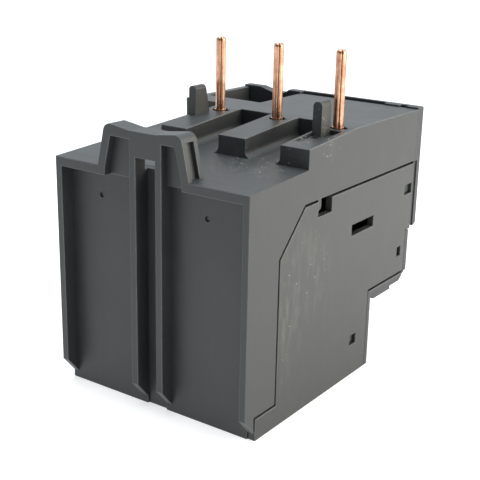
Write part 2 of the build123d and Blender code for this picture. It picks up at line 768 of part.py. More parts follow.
def make_aux_block():
    inner = side_in - SEAM
    y_back = aux_back - SEAM
    low = MID_BOTTOM - SEAM
    shape = block(-half, half, mid_front, mid_back, MID_BOTTOM + 0.5, PANEL_BOTTOM - SEAM)
    rail_front = mid_front + 0.4
    rail_back = low_front - SEAM
    shape += block(-inner, inner, mid_back - 0.5, rail_back, low - 0.5, aux_roof - SEAM)
    shape += block(-inner, inner, rail_back - 0.5, y_back, MID_BOTTOM, aux_roof - SEAM)
    rail = [
        (rail_back, low),
        (rail_back - 0.6, low - 0.8),
        (rail_back - 2.2, RAIL_BOTTOM),
        (rail_back - 9.6, RAIL_BOTTOM),
        (rail_back - 9.6, RAIL_BOTTOM + RAIL_STEP),
        (rail_front + 1.8, RAIL_BOTTOM + RAIL_STEP),
        (rail_front + 0.6, low - 0.8),
        (rail_front, low),
    ]
    shape += prism_x(rail, -half + 0.5, half - 0.5)
    shape += block(-half + 0.5, half - 0.5, mid_front, mid_back - SEAM, low - 0.2, MID_BOTTOM + 0.7)
    for x in aux_xs:
        shape -= block(
            x - AUX_CHAMBER / 2, x + AUX_CHAMBER / 2,
            mid_back, aux_tab_back,
            MID_BOTTOM + 0.6, aux_roof - 1.4,
        )
        wire = AUX_WASHER / 2 + 0.2
        shape -= block(
            x - wire, x + wire,
            aux_washer_back - 0.2, aux_tab_front + 0.05,
            RAIL_BOTTOM - 1, MID_BOTTOM + 2,
        )
        shape -= rod_y(x, AUX_SCREW_Z, mid_front - 1, mid_back + 1, AUX_HEAD_R + 0.4)
        shape -= rod_y(x, AUX_SCREW_Z, aux_tab_back - 1, aux_tab_back + 1.6, AUX_SCREW_R + LOOSE)
        shape -= block(
            x - 1.45, x + 1.45,
            aux_tab_front - 0.2, aux_tab_back + 0.2,
            aux_roof - 3, aux_roof + 1,
        )
    return shape + make_nose(aux_window, inner)


def make_pin(x, pole_x):
    """A copper rod with a seam down its rear left, and a flat arm to its heater."""
    collar = deck_z(pin_y) + PIN_RISE
    rod = rod_z(x, pin_y, collar - 0.5, PIN_TOP, PIN_R)
    rod = chamfer(rod.edges().group_by(Axis.Z)[-1], PIN_CHAMFER)
    rod += rod_z(x, pin_y, ledge_roof - ARM_THICK, collar, PIN_ROOT_R)
    seam = block(-PIN_GROOVE / 2, PIN_GROOVE / 2, PIN_R - 0.35, PIN_R + 1, deck_z(pin_y) + 0.6, PIN_TOP + 1)
    rod -= Pos(x, pin_y, 0) * Rot(0, 0, PIN_GROOVE_TURN) * seam
    tail_x = pole_x - STRIP_THICK / 2 - 1.2
    z0 = ledge_roof - ARM_THICK - 0.4
    z1 = ledge_roof - 0.4
    arm = block(x - PIN_R * 0.8, tail_x + ARM_WIDTH / 2, pin_y - 0.8, pin_y + 0.8, z0, z1)
    arm += block(tail_x - ARM_WIDTH / 2, tail_x + ARM_WIDTH / 2, pin_y - 0.8, tail_back + 0.4, z0, z1)
    return rod + arm


def make_heater(x):
    """A heater ribbon wound round the bimetal strip, with its lead at the top."""
    z_arm = ledge_roof - ARM_THICK - 0.4
    half_in = STRIP_WIDTH / 2 + 0.9
    half_out = half_in + RIBBON
    x_in = STRIP_THICK / 2 + 1.1
    x_out = x_in + RIBBON
    shape = None
    for turn in range(BAND_COUNT):
        z0 = BAND_START + turn * BAND_PITCH
        band = block(x - x_out, x + x_out, strip_y - half_out, strip_y + half_out, z0, z0 + BAND_HEIGHT)
        band -= block(x - x_in, x + x_in, strip_y - half_in, strip_y + half_in, z0 - 1, z0 + BAND_HEIGHT + 1)
        shape = band if shape is None else shape + band
        if turn:
            side = 1 if turn % 2 else -1
            link_x = x + side * (x_in + x_out) / 2
            shape += block(
                link_x - RIBBON / 2,
                link_x + RIBBON / 2,
                strip_y - side * 2.0 - 0.9,
                strip_y - side * 2.0 + 0.9,
                z0 - BAND_PITCH + BAND_HEIGHT - 0.2,
                z0 + 0.2,
            )
    top = BAND_START + (BAND_COUNT - 1) * BAND_PITCH + BAND_HEIGHT
    tail_x = x - STRIP_THICK / 2 - 1.2
    x0 = tail_x - ARM_WIDTH / 2
    x1 = tail_x + ARM_WIDTH / 2
    shape += block(x0, x1, tail_back - 0.8, tail_back, top - BAND_HEIGHT, z_arm)
    shape += block(x0, x1, tail_back - 0.4, strip_y - half_out + 0.3, top - BAND_HEIGHT, top)
    shape += block(
        x - x_in - 0.2, x - STRIP_THICK / 2,
        strip_y - 1.6, strip_y + 1.6,
        BAND_START, BAND_START + BAND_HEIGHT,
    )
    return shape


def make_bimetal(x):
    shape = block(
        x - STRIP_THICK / 2,
        x + STRIP_THICK / 2,
        strip_y - STRIP_WIDTH / 2,
        strip_y + STRIP_WIDTH / 2,
        BUSBAR_TOP,
        STRIP_TOP,
    )
    return chamfer(shape.edges().filter_by(Axis.Y).group_by(Axis.Z)[-1], 0.2)


def make_terminal_bar(x):
    """Output conductor: screw tab, run to the rear and the foot of the bimetal."""
    run_end = strip_y + STRIP_WIDTH / 2 + 0.5
    low = BUSBAR_TOP - BUSBAR_THICK
    wide = MAIN_TAB_WIDTH / 2
    shape = block(x - wide, x + wide, tab_front, tab_back, MAIN_TAB_LOW, BUSBAR_TOP - 0.1)
    shape += block(x - BUSBAR_WIDTH / 2, x + BUSBAR_WIDTH / 2, tab_front, run_end, low, BUSBAR_TOP)
    foot = x - STRIP_THICK / 2
    shape += block(
        foot - 1.2, foot, strip_y - STRIP_WIDTH / 2, strip_y + STRIP_WIDTH / 2, low + 0.2, BUSBAR_TOP + 2.2
    )
    shape -= rod_y(x, MAIN_SCREW_Z, tab_front - 1, tab_back + 1, MAIN_SCREW_R + RUNNING)
    return shape


def make_screw(x, z, r, head_r, head_back, head, end):
    """A pan-head terminal screw along Y with a cross recess."""
    shape = rod_y(x, z, head_back - head, head_back, head_r)
    shape = fillet(shape.edges().group_by(Axis.Y)[0], head * 0.25)
    shape += rod_y(x, z, head_back - 0.2, end, r)
    arm = head_r * 0.62
    cut = 0.45
    y0 = head_back - head
    shape -= block(x - arm, x + arm, y0 - 1, y0 + head * 0.5, z - cut, z + cut)
    shape -= block(x - cut, x + cut, y0 - 1, y0 + head * 0.5, z - arm, z + arm)
    return shape


def make_washer(x, z, size, y_back, thick, hole):
    """A square clamp washer with bent-in upper and lower lips."""
    shape = block(x - size / 2, x + size / 2, y_back - thick, y_back, z - size / 2, z + size / 2)
    shape -= rod_y(x, z, y_back - thick - 1, y_back + 1, hole)
    return shape


def aux_neck(x, top):
    plate = block(x - 3.2, x + 3.2, aux_tab_front, aux_tab_back, MID_BOTTOM + 1.0, aux_roof - 2.2)
    plate -= rod_y(x, AUX_SCREW_Z, aux_tab_front - 1, aux_tab_back + 1, AUX_SCREW_R + RUNNING)
    return plate + block(x - 1.25, x + 1.25, aux_tab_front, aux_tab_back, aux_roof - 3, top)


def make_aux_plate(index):
    """One of four contact plates, from its screw tab to its fixed contact."""
    side = -1 if index < 2 else 1
    x = aux_xs[index]
    outer = index in (0, 3)
    base = PANEL_BOTTOM + INNER_WALL + 0.7
    nc_face = BRIDGE_OFFSET + BRIDGE_THICK + BUTTON_TALL + 0.05
    swing = (ROCKER_Z - CONTACT_Z + CONTACT_R) * math.sin(math.radians(ROCKER_ANGLE))
    gap = 0.0 if side < 0 else swing + 0.15
    tip = nc_face + gap
    post0 = tip + BUTTON_TALL
    post1 = post0 + AUX_TAB
    plate = aux_neck(x, base + AUX_TAB)
    top = CONTACT_Z + 2.0
    if outer:
        y0 = mech_rear - 7.2
        y1 = mech_rear - 3.2
        lane = side * (AUX_PITCH / 2 + 2.8)
        ends = sorted((x + side * 1.25, lane - side * 0.8))
        plate += block(ends[0], ends[1], aux_tab_front, aux_tab_back, base, base + AUX_TAB)
        plate += block(lane - 0.8, lane + 0.8, aux_tab_front, y1, base, base + AUX_TAB)
        ends = sorted((lane, side * post0))
        plate += block(ends[0], ends[1], y0 + 1.0, y1, base, base + AUX_TAB)
    else:
        y0 = aux_tab_front
        y1 = aux_tab_front + 4.0
        ends = sorted((x - side * 1.25, side * post0, x + side * 1.25))
        plate += block(ends[0], ends[2], aux_tab_front, aux_tab_back, base, base + AUX_TAB)
    posts = sorted((side * post0, side * post1))
    plate += block(posts[0], posts[1], y0, y1, base, top)
    tips = sorted((side * tip, side * post0))
    plate += rod_x((y0 + y1) / 2, CONTACT_Z, tips[0] if side < 0 else tips[0], tips[1] + 0.0, CONTACT_R)
    return plate


def contact_ys():
    front_y = aux_tab_front + 2.0
    rear_y = mech_rear - 5.2
    return front_y, rear_y


def make_bridge(side):
    """Moving contact bridge on the rocker, with two silver buttons."""
    y_front, y_rear = contact_ys()
    x0, x1 = sorted((side * BRIDGE_OFFSET, side * (BRIDGE_OFFSET + BRIDGE_THICK)))
    shape = block(x0, x1, y_front - 1.6, y_rear + 1.6, CONTACT_Z - 1.3, CONTACT_Z + 1.3)
    outer = side * (BRIDGE_OFFSET + BRIDGE_THICK)
    for y in (y_front, y_rear):
        a, b = sorted((outer, outer + side * BUTTON_TALL))
        shape += rod_x(y, CONTACT_Z, a, b, CONTACT_R)
    return shape


def make_rocker():
    y_front, y_rear = contact_ys()
    hub_front = panel_back + ROCKER_BOSS + LOOSE
    hub_rear = mech_rear - LOOSE
    arm_rear = mech_rear - 3.0
    shape = rod_y(0.0, ROCKER_Z, hub_front, hub_rear, ROCKER_HUB_R)
    shape += block(-0.9, 0.9, y_front - 2.0, arm_rear, CONTACT_Z - 1.6, ROCKER_Z)
    for side in (-1, 1):
        x0, x1 = sorted((0.0, side * BRIDGE_OFFSET))
        middle = (y_front + y_rear) / 2
        shape += block(x0, x1, middle - 2.0, middle + 2.0, CONTACT_Z - 1.6, CONTACT_Z + 1.6)
    shape += block(-0.9, 0.9, hub_rear - 2.2, hub_rear, ROCKER_Z, LEVER_TIP_Z + 0.8)
    shape -= rod_y(0.0, ROCKER_Z, hub_front - 1, hub_rear + 1, ROCKER_PIN_R + RUNNING)
    return shape


def make_trip_indicator():
    """Bright flag that rides on the rocker and shows in a slot of the panel."""
    low = ROCKER_Z + ROCKER_HUB_R
    hub_front = panel_back + ROCKER_BOSS + LOOSE
    shape = block(-1.2, 1.2, panel_back + 0.4, hub_front + 4.0, low, low + 1.4)
    return shape


def make_lever():
    """Temperature-compensating lever between the trip bars and the rocker."""
    y1 = mech_rear - LOOSE - 0.1
    y0 = y1 - 2.0
    tip_x = 0.9 + LEVER_TIP_GAP
    outline = [
        (LEVER_X - 1.0, NOSE_Z - 1.2),
        (LEVER_X + 0.4, NOSE_Z - 1.2),
        (LEVER_X + 1.0, LEVER_Z),
        (LEVER_X + 0.6, LEVER_TIP_Z - 0.6),
        (LEVER_X - 0.4, LEVER_TIP_Z + 0.7),
        (tip_x, LEVER_TIP_Z + 0.6),
        (tip_x, LEVER_TIP_Z - 0.2),
        (LEVER_X - 1.2, LEVER_TIP_Z - 1.3),
        (LEVER_X - 1.0, LEVER_Z),
    ]
    shape = prism_y(outline, y0, y1)
    shape += rod_y(LEVER_X, LEVER_Z, y0, y1, LEVER_PIN_R + 1.1)
    shape -= rod_y(LEVER_X, LEVER_Z, y0 - 1, y1 + 1, LEVER_PIN_R + RUNNING)
    return shape


def make_adjuster():
    """Slide that the dial's cam pushes, with the lever's pivot pin at its end."""
    y0 = panel_back + 1.6
    y1 = y0 + 2.6
    nose = DIAL_X + CAM_START + 0.15
    low = DIAL_Z - 1.5
    high = DIAL_Z + 1.5
    shape = block(nose + 1.8, LEVER_X + 1.5, y0, y1, low, high)
    shape += prism_y(
        [
            (nose, DIAL_Z - 0.6),
            (nose + 2.0, low + 0.2),
            (nose + 2.0, high - 0.2),
            (nose, DIAL_Z + 0.6),
        ],
        y0,
        y1,
    )
    shape += rod_y(LEVER_X, LEVER_Z, y1 - 0.5, mech_rear - LOOSE, LEVER_PIN_R)
    shape += rod_y(LEVER_X, LEVER_Z, y1 - 0.5, mech_rear - 2.4 - LOOSE - 0.1, LEVER_PIN_R + 0.5)
    return shape


def make_dial():
    """Round setting dial with a screwdriver slot and a pointer."""
    y0 = front - DIAL_PROUD
    y1 = front + 1.0
    shape = rod_y(DIAL_X, DIAL_Z, y0, y1, DIAL_R)
    shape = chamfer(shape.edges().group_by(Axis.Y)[0], 0.6)
    shape += rod_y(DIAL_X, DIAL_Z, y1 - 0.2, panel_back + 1.3, DIAL_SHAFT_R)
    slot = block(-DIAL_R * 0.72, DIAL_R * 0.62, y0 - 1, y0 + 1.2, -0.6, 0.6)
    head = prism_y([(-DIAL_R * 0.86, 0.0), (-DIAL_R * 0.5, 1.5), (-DIAL_R * 0.5, -1.5)], y0 - 1, y0 + 1.2)
    shape -= Pos(DIAL_X, 0, DIAL_Z) * Rot(0, -45, 0) * (slot + head)
    shape += block(DIAL_X - 1.5, DIAL_X + 1.5, panel_back + 1.0, panel_back + 3.8, DIAL_Z - 1.5, DIAL_Z + 1.5)
    return shape


def make_dial_cam():
    """Spiral cam on the dial's square end: its radius grows evenly with the angle."""
    rate = CAM_LIFT / math.radians(DIAL_SWEEP)
    first = -20
    last = int(DIAL_SWEEP) + 20
    count = 16
    angles = [math.radians(first + (last - first) * i / count) for i in range(count + 1)]
    points = []
    for angle in angles:
        radius = CAM_START + rate * angle
        points.append((DIAL_X + radius * math.cos(angle), DIAL_Z + radius * math.sin(angle)))
    edge = Spline(*points)
    face = make_face(edge + Line(points[-1], points[0]))
    y0 = panel_back + 1.6
    y1 = panel_back + 3.8
    shape = extrude(Plane.XZ.offset(-y1) * face, amount=y1 - y0)
    hole = 1.5 + RUNNING / 2
    shape -= block(DIAL_X - hole, DIAL_X + hole, y0 - 1, y1 + 1, DIAL_Z - hole, DIAL_Z + hole)
    return shape


def make_driver_bar(z0, peg):
    """Flat trip bar with a slot for the tip of each bimetal."""
    shape = block(
        -POLE_PITCH - 4.0, POLE_PITCH + 3.0,
        strip_y - BAR_WIDTH / 2, strip_y + BAR_WIDTH / 2,
        z0, z0 + BAR_THICK,
    )
    for x in pole_xs:
        shape -= block(
            x - STRIP_THICK / 2 - LOOSE - TRIP_TRAVEL,
            x + STRIP_THICK / 2 + SEAM,
            strip_y - STRIP_WIDTH / 2 - LOOSE,
            strip_y + STRIP_WIDTH / 2 + LOOSE,
            z0 - 1,
            z0 + BAR_THICK + 1,
        )
    if peg:
        shape += rod_z(PEG_X, strip_y - PEG_SET, z0 + BAR_THICK - 0.2, z0 + BAR_THICK + 1.2, PEG_R)
    return shape


def make_driver_arm():
    """Arm on the driver bar that reaches forward to the compensating lever."""
    y0 = mech_rear - LOOSE - 2.1
    bar_front = strip_y - BAR_WIDTH / 2
    shape = block(0.9, 3.6, bar_front - 1.0, bar_front + 2.2, driver_top, driver_top + 1.2)
    shape -= rod_z(PEG_X, strip_y - PEG_SET, driver_top - 1, driver_top + 3, PEG_R + RUNNING / 2)
    shape += block(0.9, 2.2, bar_front - 1.4, bar_front - 0.2, driver_low, driver_top + 1.2)
    shape += block(-0.2, 1.6, y0, bar_front - 0.2, driver_low - 0.8, driver_low + 0.8)
    nose = LEVER_X - 1.0 - LOOSE
    shape += block(-0.2, 1.6, y0, y0 + 2.0, NOSE_Z - 0.7, driver_low)
    shape += block(0.0, nose, y0, y0 + 2.0, NOSE_Z - 0.7, NOSE_Z + 0.7)
    return shape


def make_coil(x, z, y0, y1, r, wire, turns):
    """Open coil spring along Y, drawn as a helix of square wire."""
    length = y1 - y0 - wire
    path = Helix(pitch=length / turns, height=length, radius=r - wire / 2)
    start = path @ 0
    section = Plane(origin=start, z_dir=path % 0) * Rectangle(wire, wire)
    coil = sweep(section, path=path, is_frenet=True)
    return Pos(x, y0 + wire / 2, z) * Rot(-90, 0, 0) * coil


def make_reset_button():
    y0 = front - BUTTON_PROUD
    shape = rod_y(RESET_X, RESET_Z, y0, panel_back + 6.5, RESET_R)
    shape = fillet(shape.edges().group_by(Axis.Y)[0], 0.5)
    shape += rod_y(RESET_X, RESET_Z, panel_back + 6.0, reset_seat - 0.5, 1.6)
    shape -= block(RESET_X - 2.6, RESET_X + 2.6, y0 - 1, y0 + 1.0, RESET_Z - 0.5, RESET_Z + 0.5)
    return shape


def make_mode_sleeve():
    """Collar round the reset button that is turned between manual and automatic."""
    y0 = front - SLEEVE_PROUD
    shape = rod_y(RESET_X, RESET_Z, y0, panel_back + 2.9, SLEEVE_R)
    shape += rod_y(RESET_X, RESET_Z, y0, front - 0.1, SLEEVE_RIM)
    shape -= rod_y(RESET_X, RESET_Z, y0 - 1, panel_back + 4, RESET_R + RUNNING)
    pointer = block(
        RESET_X - 0.5, RESET_X + 0.5,
        y0 - 0.5, y0 + 0.6,
        RESET_Z + RESET_R + 0.3, RESET_Z + SLEEVE_RIM - 0.1,
    )
    return shape - pointer


def make_stop_button():
    y0 = front - STOP_PROUD
    shape = rod_y(STOP_X, STOP_Z, y0, panel_back + 0.6, STOP_R)
    shape = fillet(shape.edges().group_by(Axis.Y)[0], 0.4)
    shape += rod_y(STOP_X, STOP_Z, panel_back + 0.3, panel_back + 1.3, STOP_R + 0.6)
    shape += rod_y(STOP_X, STOP_Z, panel_back + 1.0, stop_seat + 0.6, 1.2)
    return shape


def make_test_slider():
    shape = block(
        TEST_X - TEST_WIDTH / 2,
        TEST_X + TEST_WIDTH / 2,
        front - 0.8,
        panel_back + 0.5,
        TEST_Z - TEST_TALL / 2,
        TEST_Z + TEST_TALL / 2,
    )
    shape += block(TEST_X - 2.0, TEST_X + 1.7, panel_back + 0.1, panel_back + 1.1, TEST_Z - 1.4, TEST_Z + 1.4)
    shape -= block(TEST_X - 0.3, TEST_X + 0.3, front - 1.4, front - 0.3, TEST_Z - 2, TEST_Z + 2)
    return shape


def make_flap():
    """Clear tray-shaped flap over the dial, with two hinge knuckles at its top."""
    hinge_y = front - HINGE_OUT
    y0 = front - FLAP_PROUD
    y1 = front - LOOSE
    top = HINGE_Z + 0.2
    shape = block(FLAP_LEFT, FLAP_RIGHT, y0, y1, FLAP_BOTTOM, top)
    shape -= block(
        FLAP_LEFT + FLAP_SKIN, FLAP_RIGHT - FLAP_SKIN,
        y0 + FLAP_SKIN, y1 + 1,
        FLAP_BOTTOM + FLAP_SKIN, top + 1,
    )
    shape = fillet(shape.edges().filter_by(Axis.X).group_by(Axis.Y)[0].group_by(Axis.Z)[0], 0.8)
    clear = KNUCKLE_R + LOOSE
    shape -= block(FLAP_LEFT - 1, FLAP_RIGHT + 1, hinge_y - clear, y1 + 1, HINGE_Z - clear, top + 2)
    ends = [(FLAP_LEFT, FLAP_LEFT + KNUCKLE), (FLAP_RIGHT - KNUCKLE, FLAP_RIGHT)]
    for x0, x1 in ends:
        knuckle = rod_x(hinge_y, HINGE_Z, x0, x1, KNUCKLE_R)
        knuckle += block(x0, x1, y0, hinge_y, HINGE_Z - 0.7, HINGE_Z + 0.6)
        knuckle -= rod_x(hinge_y, HINGE_Z, x0 - 1, x1 + 1, HINGE_PIN_R + RUNNING)
        shape += knuckle
    grip = rod_x(y0, FLAP_BOTTOM + 2.2, -11.5, -6.5, 0.5)
    return shape + grip


def make_flap_pin():
    x0 = FLAP_LEFT - LOOSE - EAR
    x1 = FLAP_RIGHT + LOOSE + EAR
    return rod_x(front - HINGE_OUT, HINGE_Z, x0, x1, HINGE_PIN_R)


def build_all():
    parts = {
        "main_housing": make_housing(),
        "side_cover": make_side_cover(),
        "front_panel": make_front_panel(),
        "main_terminal_block": make_main_block(),
        "aux_terminal_block": make_aux_block(),
    }
    for number, (pin_x, pole_x) in enumerate(zip(pin_xs, pole_xs), start=1):
        parts[f"contact_pin_{number}"] = make_pin(pin_x, pole_x)
        parts[f"heater_winding_{number}"] = make_heater(pole_x)
        parts[f"bimetal_strip_{number}"] = make_bimetal(pole_x)
        parts[f"terminal_bar_{number}"] = make_terminal_bar(pole_x)
        parts[f"main_screw_{number}"] = make_screw(
            pole_x,
            MAIN_SCREW_Z,
            MAIN_SCREW_R,
            MAIN_HEAD_R,
            main_head_back,
            MAIN_HEAD,
            tab_back + MAIN_SCREW_REACH,
        )
        parts[f"main_clamp_washer_{number}"] = make_washer(
            pole_x, MAIN_SCREW_Z, MAIN_WASHER, main_washer_back, WASHER_THICK, MAIN_SCREW_R + 0.1
        )
    for number, x in enumerate(aux_xs, start=1):
        parts[f"aux_contact_plate_{number}"] = make_aux_plate(number - 1)
        parts[f"aux_screw_{number}"] = make_screw(
            x, AUX_SCREW_Z, AUX_SCREW_R, AUX_HEAD_R, aux_head_back, AUX_HEAD, aux_tab_back + AUX_SCREW_REACH
        )
        parts[f"aux_clamp_washer_{number}"] = make_washer(
            x, AUX_SCREW_Z, AUX_WASHER, aux_washer_back, AUX_TAB, AUX_SCREW_R + 0.1
        )
    parts["driver_bar"] = make_driver_bar(driver_low, True)
    parts["driver_arm"] = make_driver_arm()
    parts["follower_bar"] = make_driver_bar(BAR_LOW, False)
    parts["compensating_lever"] = make_lever()
    parts["adjuster_slide"] = make_adjuster()
    parts["trip_rocker"] = make_rocker()
    parts["rocker_pin"] = rod_y(0.0, ROCKER_Z, panel_back + 1.1, mech_rear + ROCKER_SEAT - 0.1, ROCKER_PIN_R)
    parts["nc_bridge"] = make_bridge(-1)
    parts["no_bridge"] = make_bridge(1)
    parts["trip_indicator"] = make_trip_indicator()
    parts["setting_dial"] = make_dial()
    parts["dial_cam"] = make_dial_cam()
    parts["mode_sleeve"] = make_mode_sleeve()
    parts["reset_button"] = make_reset_button()
    parts["reset_spring"] = make_coil(RESET_X, RESET_Z, panel_back + 6.6, aux_back - 0.1, 2.6, 0.5, 5)
    parts["stop_button"] = make_stop_button()
    parts["stop_spring"] = make_coil(STOP_X, STOP_Z, panel_back + 1.4, stop_seat - 1.3, 2.1, 0.4, 5)
    parts["test_slider"] = make_test_slider()
    parts["dial_flap"] = make_flap()
    parts["flap_hinge_pin"] = make_flap_pin()
    return parts


def main():
    os.makedirs("parts", exist_ok=True)
    for name, shape in build_all().items():
        export_step(shape, f"parts/{name}.step")
        print(name, round(shape.volume, 1), len(shape.solids()))


main()
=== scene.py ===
# %% [markdown]
# # A thermal overload relay in moulded plastic and copper
#
# The relay is a block of charcoal plastic, 45 mm wide, that plugs into a contactor with
# three copper pins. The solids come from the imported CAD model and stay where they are.
# This lesson gives them the soft edges, the moulded grain, the copper and the dust that
# the real thing shows. Blender's lengths are metres, so every size on the relay is
# written in millimetres and multiplied by MM.

# %% Load the frame
import json
import math

import bmesh
import bpy
from mathutils import Matrix, Vector

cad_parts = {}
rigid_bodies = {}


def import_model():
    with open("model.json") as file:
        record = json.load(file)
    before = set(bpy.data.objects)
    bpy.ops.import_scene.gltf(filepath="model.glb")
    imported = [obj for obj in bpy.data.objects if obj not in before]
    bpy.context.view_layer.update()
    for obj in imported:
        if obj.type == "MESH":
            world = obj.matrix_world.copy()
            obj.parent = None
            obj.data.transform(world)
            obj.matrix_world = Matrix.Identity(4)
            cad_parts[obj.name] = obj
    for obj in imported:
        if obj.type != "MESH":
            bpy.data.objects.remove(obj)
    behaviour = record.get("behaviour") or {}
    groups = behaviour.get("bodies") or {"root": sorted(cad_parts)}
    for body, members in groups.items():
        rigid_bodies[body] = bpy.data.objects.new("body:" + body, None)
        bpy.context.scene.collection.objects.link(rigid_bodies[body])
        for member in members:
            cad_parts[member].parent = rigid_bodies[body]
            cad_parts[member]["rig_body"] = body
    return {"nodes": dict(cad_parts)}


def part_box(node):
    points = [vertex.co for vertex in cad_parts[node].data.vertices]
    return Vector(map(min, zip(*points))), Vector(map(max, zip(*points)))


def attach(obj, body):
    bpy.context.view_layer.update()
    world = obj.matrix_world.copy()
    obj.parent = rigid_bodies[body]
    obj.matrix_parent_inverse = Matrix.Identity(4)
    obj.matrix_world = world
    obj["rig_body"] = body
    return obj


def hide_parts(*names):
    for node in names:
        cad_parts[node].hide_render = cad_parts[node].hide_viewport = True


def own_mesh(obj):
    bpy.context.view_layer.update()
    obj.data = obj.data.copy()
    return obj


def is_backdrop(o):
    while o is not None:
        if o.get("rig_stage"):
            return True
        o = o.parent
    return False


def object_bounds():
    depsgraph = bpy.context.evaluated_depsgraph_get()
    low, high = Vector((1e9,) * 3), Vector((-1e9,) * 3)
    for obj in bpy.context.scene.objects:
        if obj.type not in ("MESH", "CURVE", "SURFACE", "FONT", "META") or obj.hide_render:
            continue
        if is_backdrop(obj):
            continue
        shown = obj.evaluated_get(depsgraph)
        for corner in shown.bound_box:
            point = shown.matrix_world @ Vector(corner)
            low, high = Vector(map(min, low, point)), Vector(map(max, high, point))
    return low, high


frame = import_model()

MM = 0.001
nodes = frame["nodes"]
cad_low, cad_high = (Vector(corner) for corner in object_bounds())
print("CAD nodes:", len(nodes))
print("CAD box in mm:", [round(v / MM, 2) for v in (*cad_low, *cad_high)])

# %% [markdown]
# ## The camera
#
# The picture looks at the rear of the relay from above its -X corner. A camera could be
# aimed with a Track To constraint, but then its roll would be lost. It is simpler to
# build the three axes of the camera from its azimuth, elevation and roll, and to write
# them as the columns of its matrix. The lens is long, so the sides hardly converge.

# %% Place the camera
CAMERA_PLACE = Vector((-112.35, 165.47, 91.42)) * MM
AZIMUTH = math.radians(215.11)
ELEVATION = math.radians(18.17)
ROLL = math.radians(1.17)
# Blender takes the lens and the sensor in millimetres as they are
LENS = 74.87
SENSOR = 36.0
NEAREST = 5 * MM

back = Vector((
    math.sin(AZIMUTH) * math.cos(ELEVATION),
    -math.cos(AZIMUTH) * math.cos(ELEVATION),
    math.sin(ELEVATION),
))
level = Vector((0, 0, 1)).cross(back).normalized()
upright = back.cross(level)
right = level * math.cos(ROLL) + upright * math.sin(ROLL)
top = upright * math.cos(ROLL) - level * math.sin(ROLL)

camera_data = bpy.data.cameras.new("studio_camera")
camera_data.lens = LENS
camera_data.sensor_width = SENSOR
camera_data.clip_start = NEAREST
camera = bpy.data.objects.new("studio_camera", camera_data)
camera.matrix_world = Matrix.Translation(CAMERA_PLACE) @ Matrix((right, top, back)).transposed().to_4x4()
bpy.context.scene.collection.objects.link(camera)
bpy.context.scene.camera = camera
print("camera is", round(CAMERA_PLACE.length / MM), "mm from the origin")

# %% [markdown]
# ## Nodes and colours
#
# A material is a tree of nodes. One small function adds a node, sets its options and
# fills its inputs, either with a value or with the output of another node. Colours are
# written as the hex values that a painter reads off a screen, and one function turns
# them into the linear light that the renderer works in. A third one starts a material
# with an empty tree.

# %% Three helpers for every material
def add(tree, kind, options=None, **inputs):
    """Add a shader node. Inputs are named with _ for a space, or in0, in1 by place."""
    node = tree.nodes.new("ShaderNode" + kind)
    for name, value in (options or {}).items():
        setattr(node, name, value)
    for name, value in inputs.items():
        if name.startswith("in") and name[2:].isdigit():
            socket = node.inputs[int(name[2:])]
        else:
            socket = node.inputs[name.replace("_", " ")]
        if isinstance(value, bpy.types.NodeSocket):
            tree.links.new(value, socket)
        else:
            socket.default_value = value
    return node


def linear(hex_colour):
    """The linear RGBA of an sRGB hex colour."""
    channels = [int(hex_colour[i:i + 2], 16) / 255 for i in (1, 3, 5)]
    light = [c / 12.92 if c <= 0.04045 else ((c + 0.055) / 1.055) ** 2.4 for c in channels]
    return (*light, 1.0)


def new_material(name):
    """An empty material and its tree."""
    material = bpy.data.materials.new(name)
    material.use_nodes = True
    material.node_tree.nodes.clear()
    return material, material.node_tree


print("charcoal in linear light:", [round(c, 4) for c in linear("#2a2d2e")[:3]])

# %% [markdown]
# ## The floor
#
# The relay stands on paper that looks white and shows hardly a shadow. White paper would
# do, but in this light the shadow on it would still be seen. So the paper is pale grey
# and glows a little, and the glow fills the shadow. Real fibres are far too fine to show
# at this size, so its faint clouds are drawn 2.5 mm wide.

# %% Build the floor
FLOOR_HALF = 3000 * MM
FIBRE = 2.5 * MM
PAPER_GLOW = 0.6

floor_material, tree = new_material("white_paper")
fibre = add(tree, "TexNoise", Scale=1 / FIBRE, Detail=3.0)
tone = add(tree, "MixRGB", in0=fibre.outputs[0], in1=linear("#c4c4c4"), in2=linear("#cccccc"))
paper = add(
    tree, "BsdfPrincipled", Base_Color=tone.outputs[0], Roughness=0.9,
    Emission_Color=linear("#ffffff"), Emission_Strength=PAPER_GLOW,
)
add(tree, "OutputMaterial", Surface=paper.outputs[0])

floor_mesh = bpy.data.meshes.new("floor")
corners = [(-1, -1), (1, -1), (1, 1), (-1, 1)]
floor_mesh.from_pydata([(x * FLOOR_HALF, y * FLOOR_HALF, 0) for x, y in corners], [], [(0, 1, 2, 3)])
floor = bpy.data.objects.new("floor", floor_mesh)
floor.data.materials.append(floor_material)
bpy.context.scene.collection.objects.link(floor)
floor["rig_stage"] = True
print("floor is", round(2 * FLOOR_HALF / MM), "mm wide")

# %% [markdown]
# ## The room and the lights
#
# In the picture the rear of the relay is dark while its top and its side are light, so
# the light comes from above and from the -X side, and the end of the room that the camera
# stands in is dim. A black flag beside the camera would do that in a studio. Here the
# room itself is shaded: it is white, and grey in the direction from which the rear is
# seen. A band above the horizon stays white, so that no grey edge shows behind the floor.
# The two lights are wide, because a small one leaves a white glare on the flat top.

# %% Shade the room
ROOM_WHITE = "#f2f8fc"
ROOM_DIM = "#404345"
ROOM_STRENGTH = 1.15
DIM_SIDE = Vector((-0.25, 0.95, 0.15)).normalized()
# How far a direction points to DIM_SIDE where the dimming starts, and where it is full
DIM_START = -0.35
DIM_FULL = 0.8
# How steeply a direction rises where the white band starts to end, and where it is gone
BAND_START = 0.03
BAND_GONE = 0.07

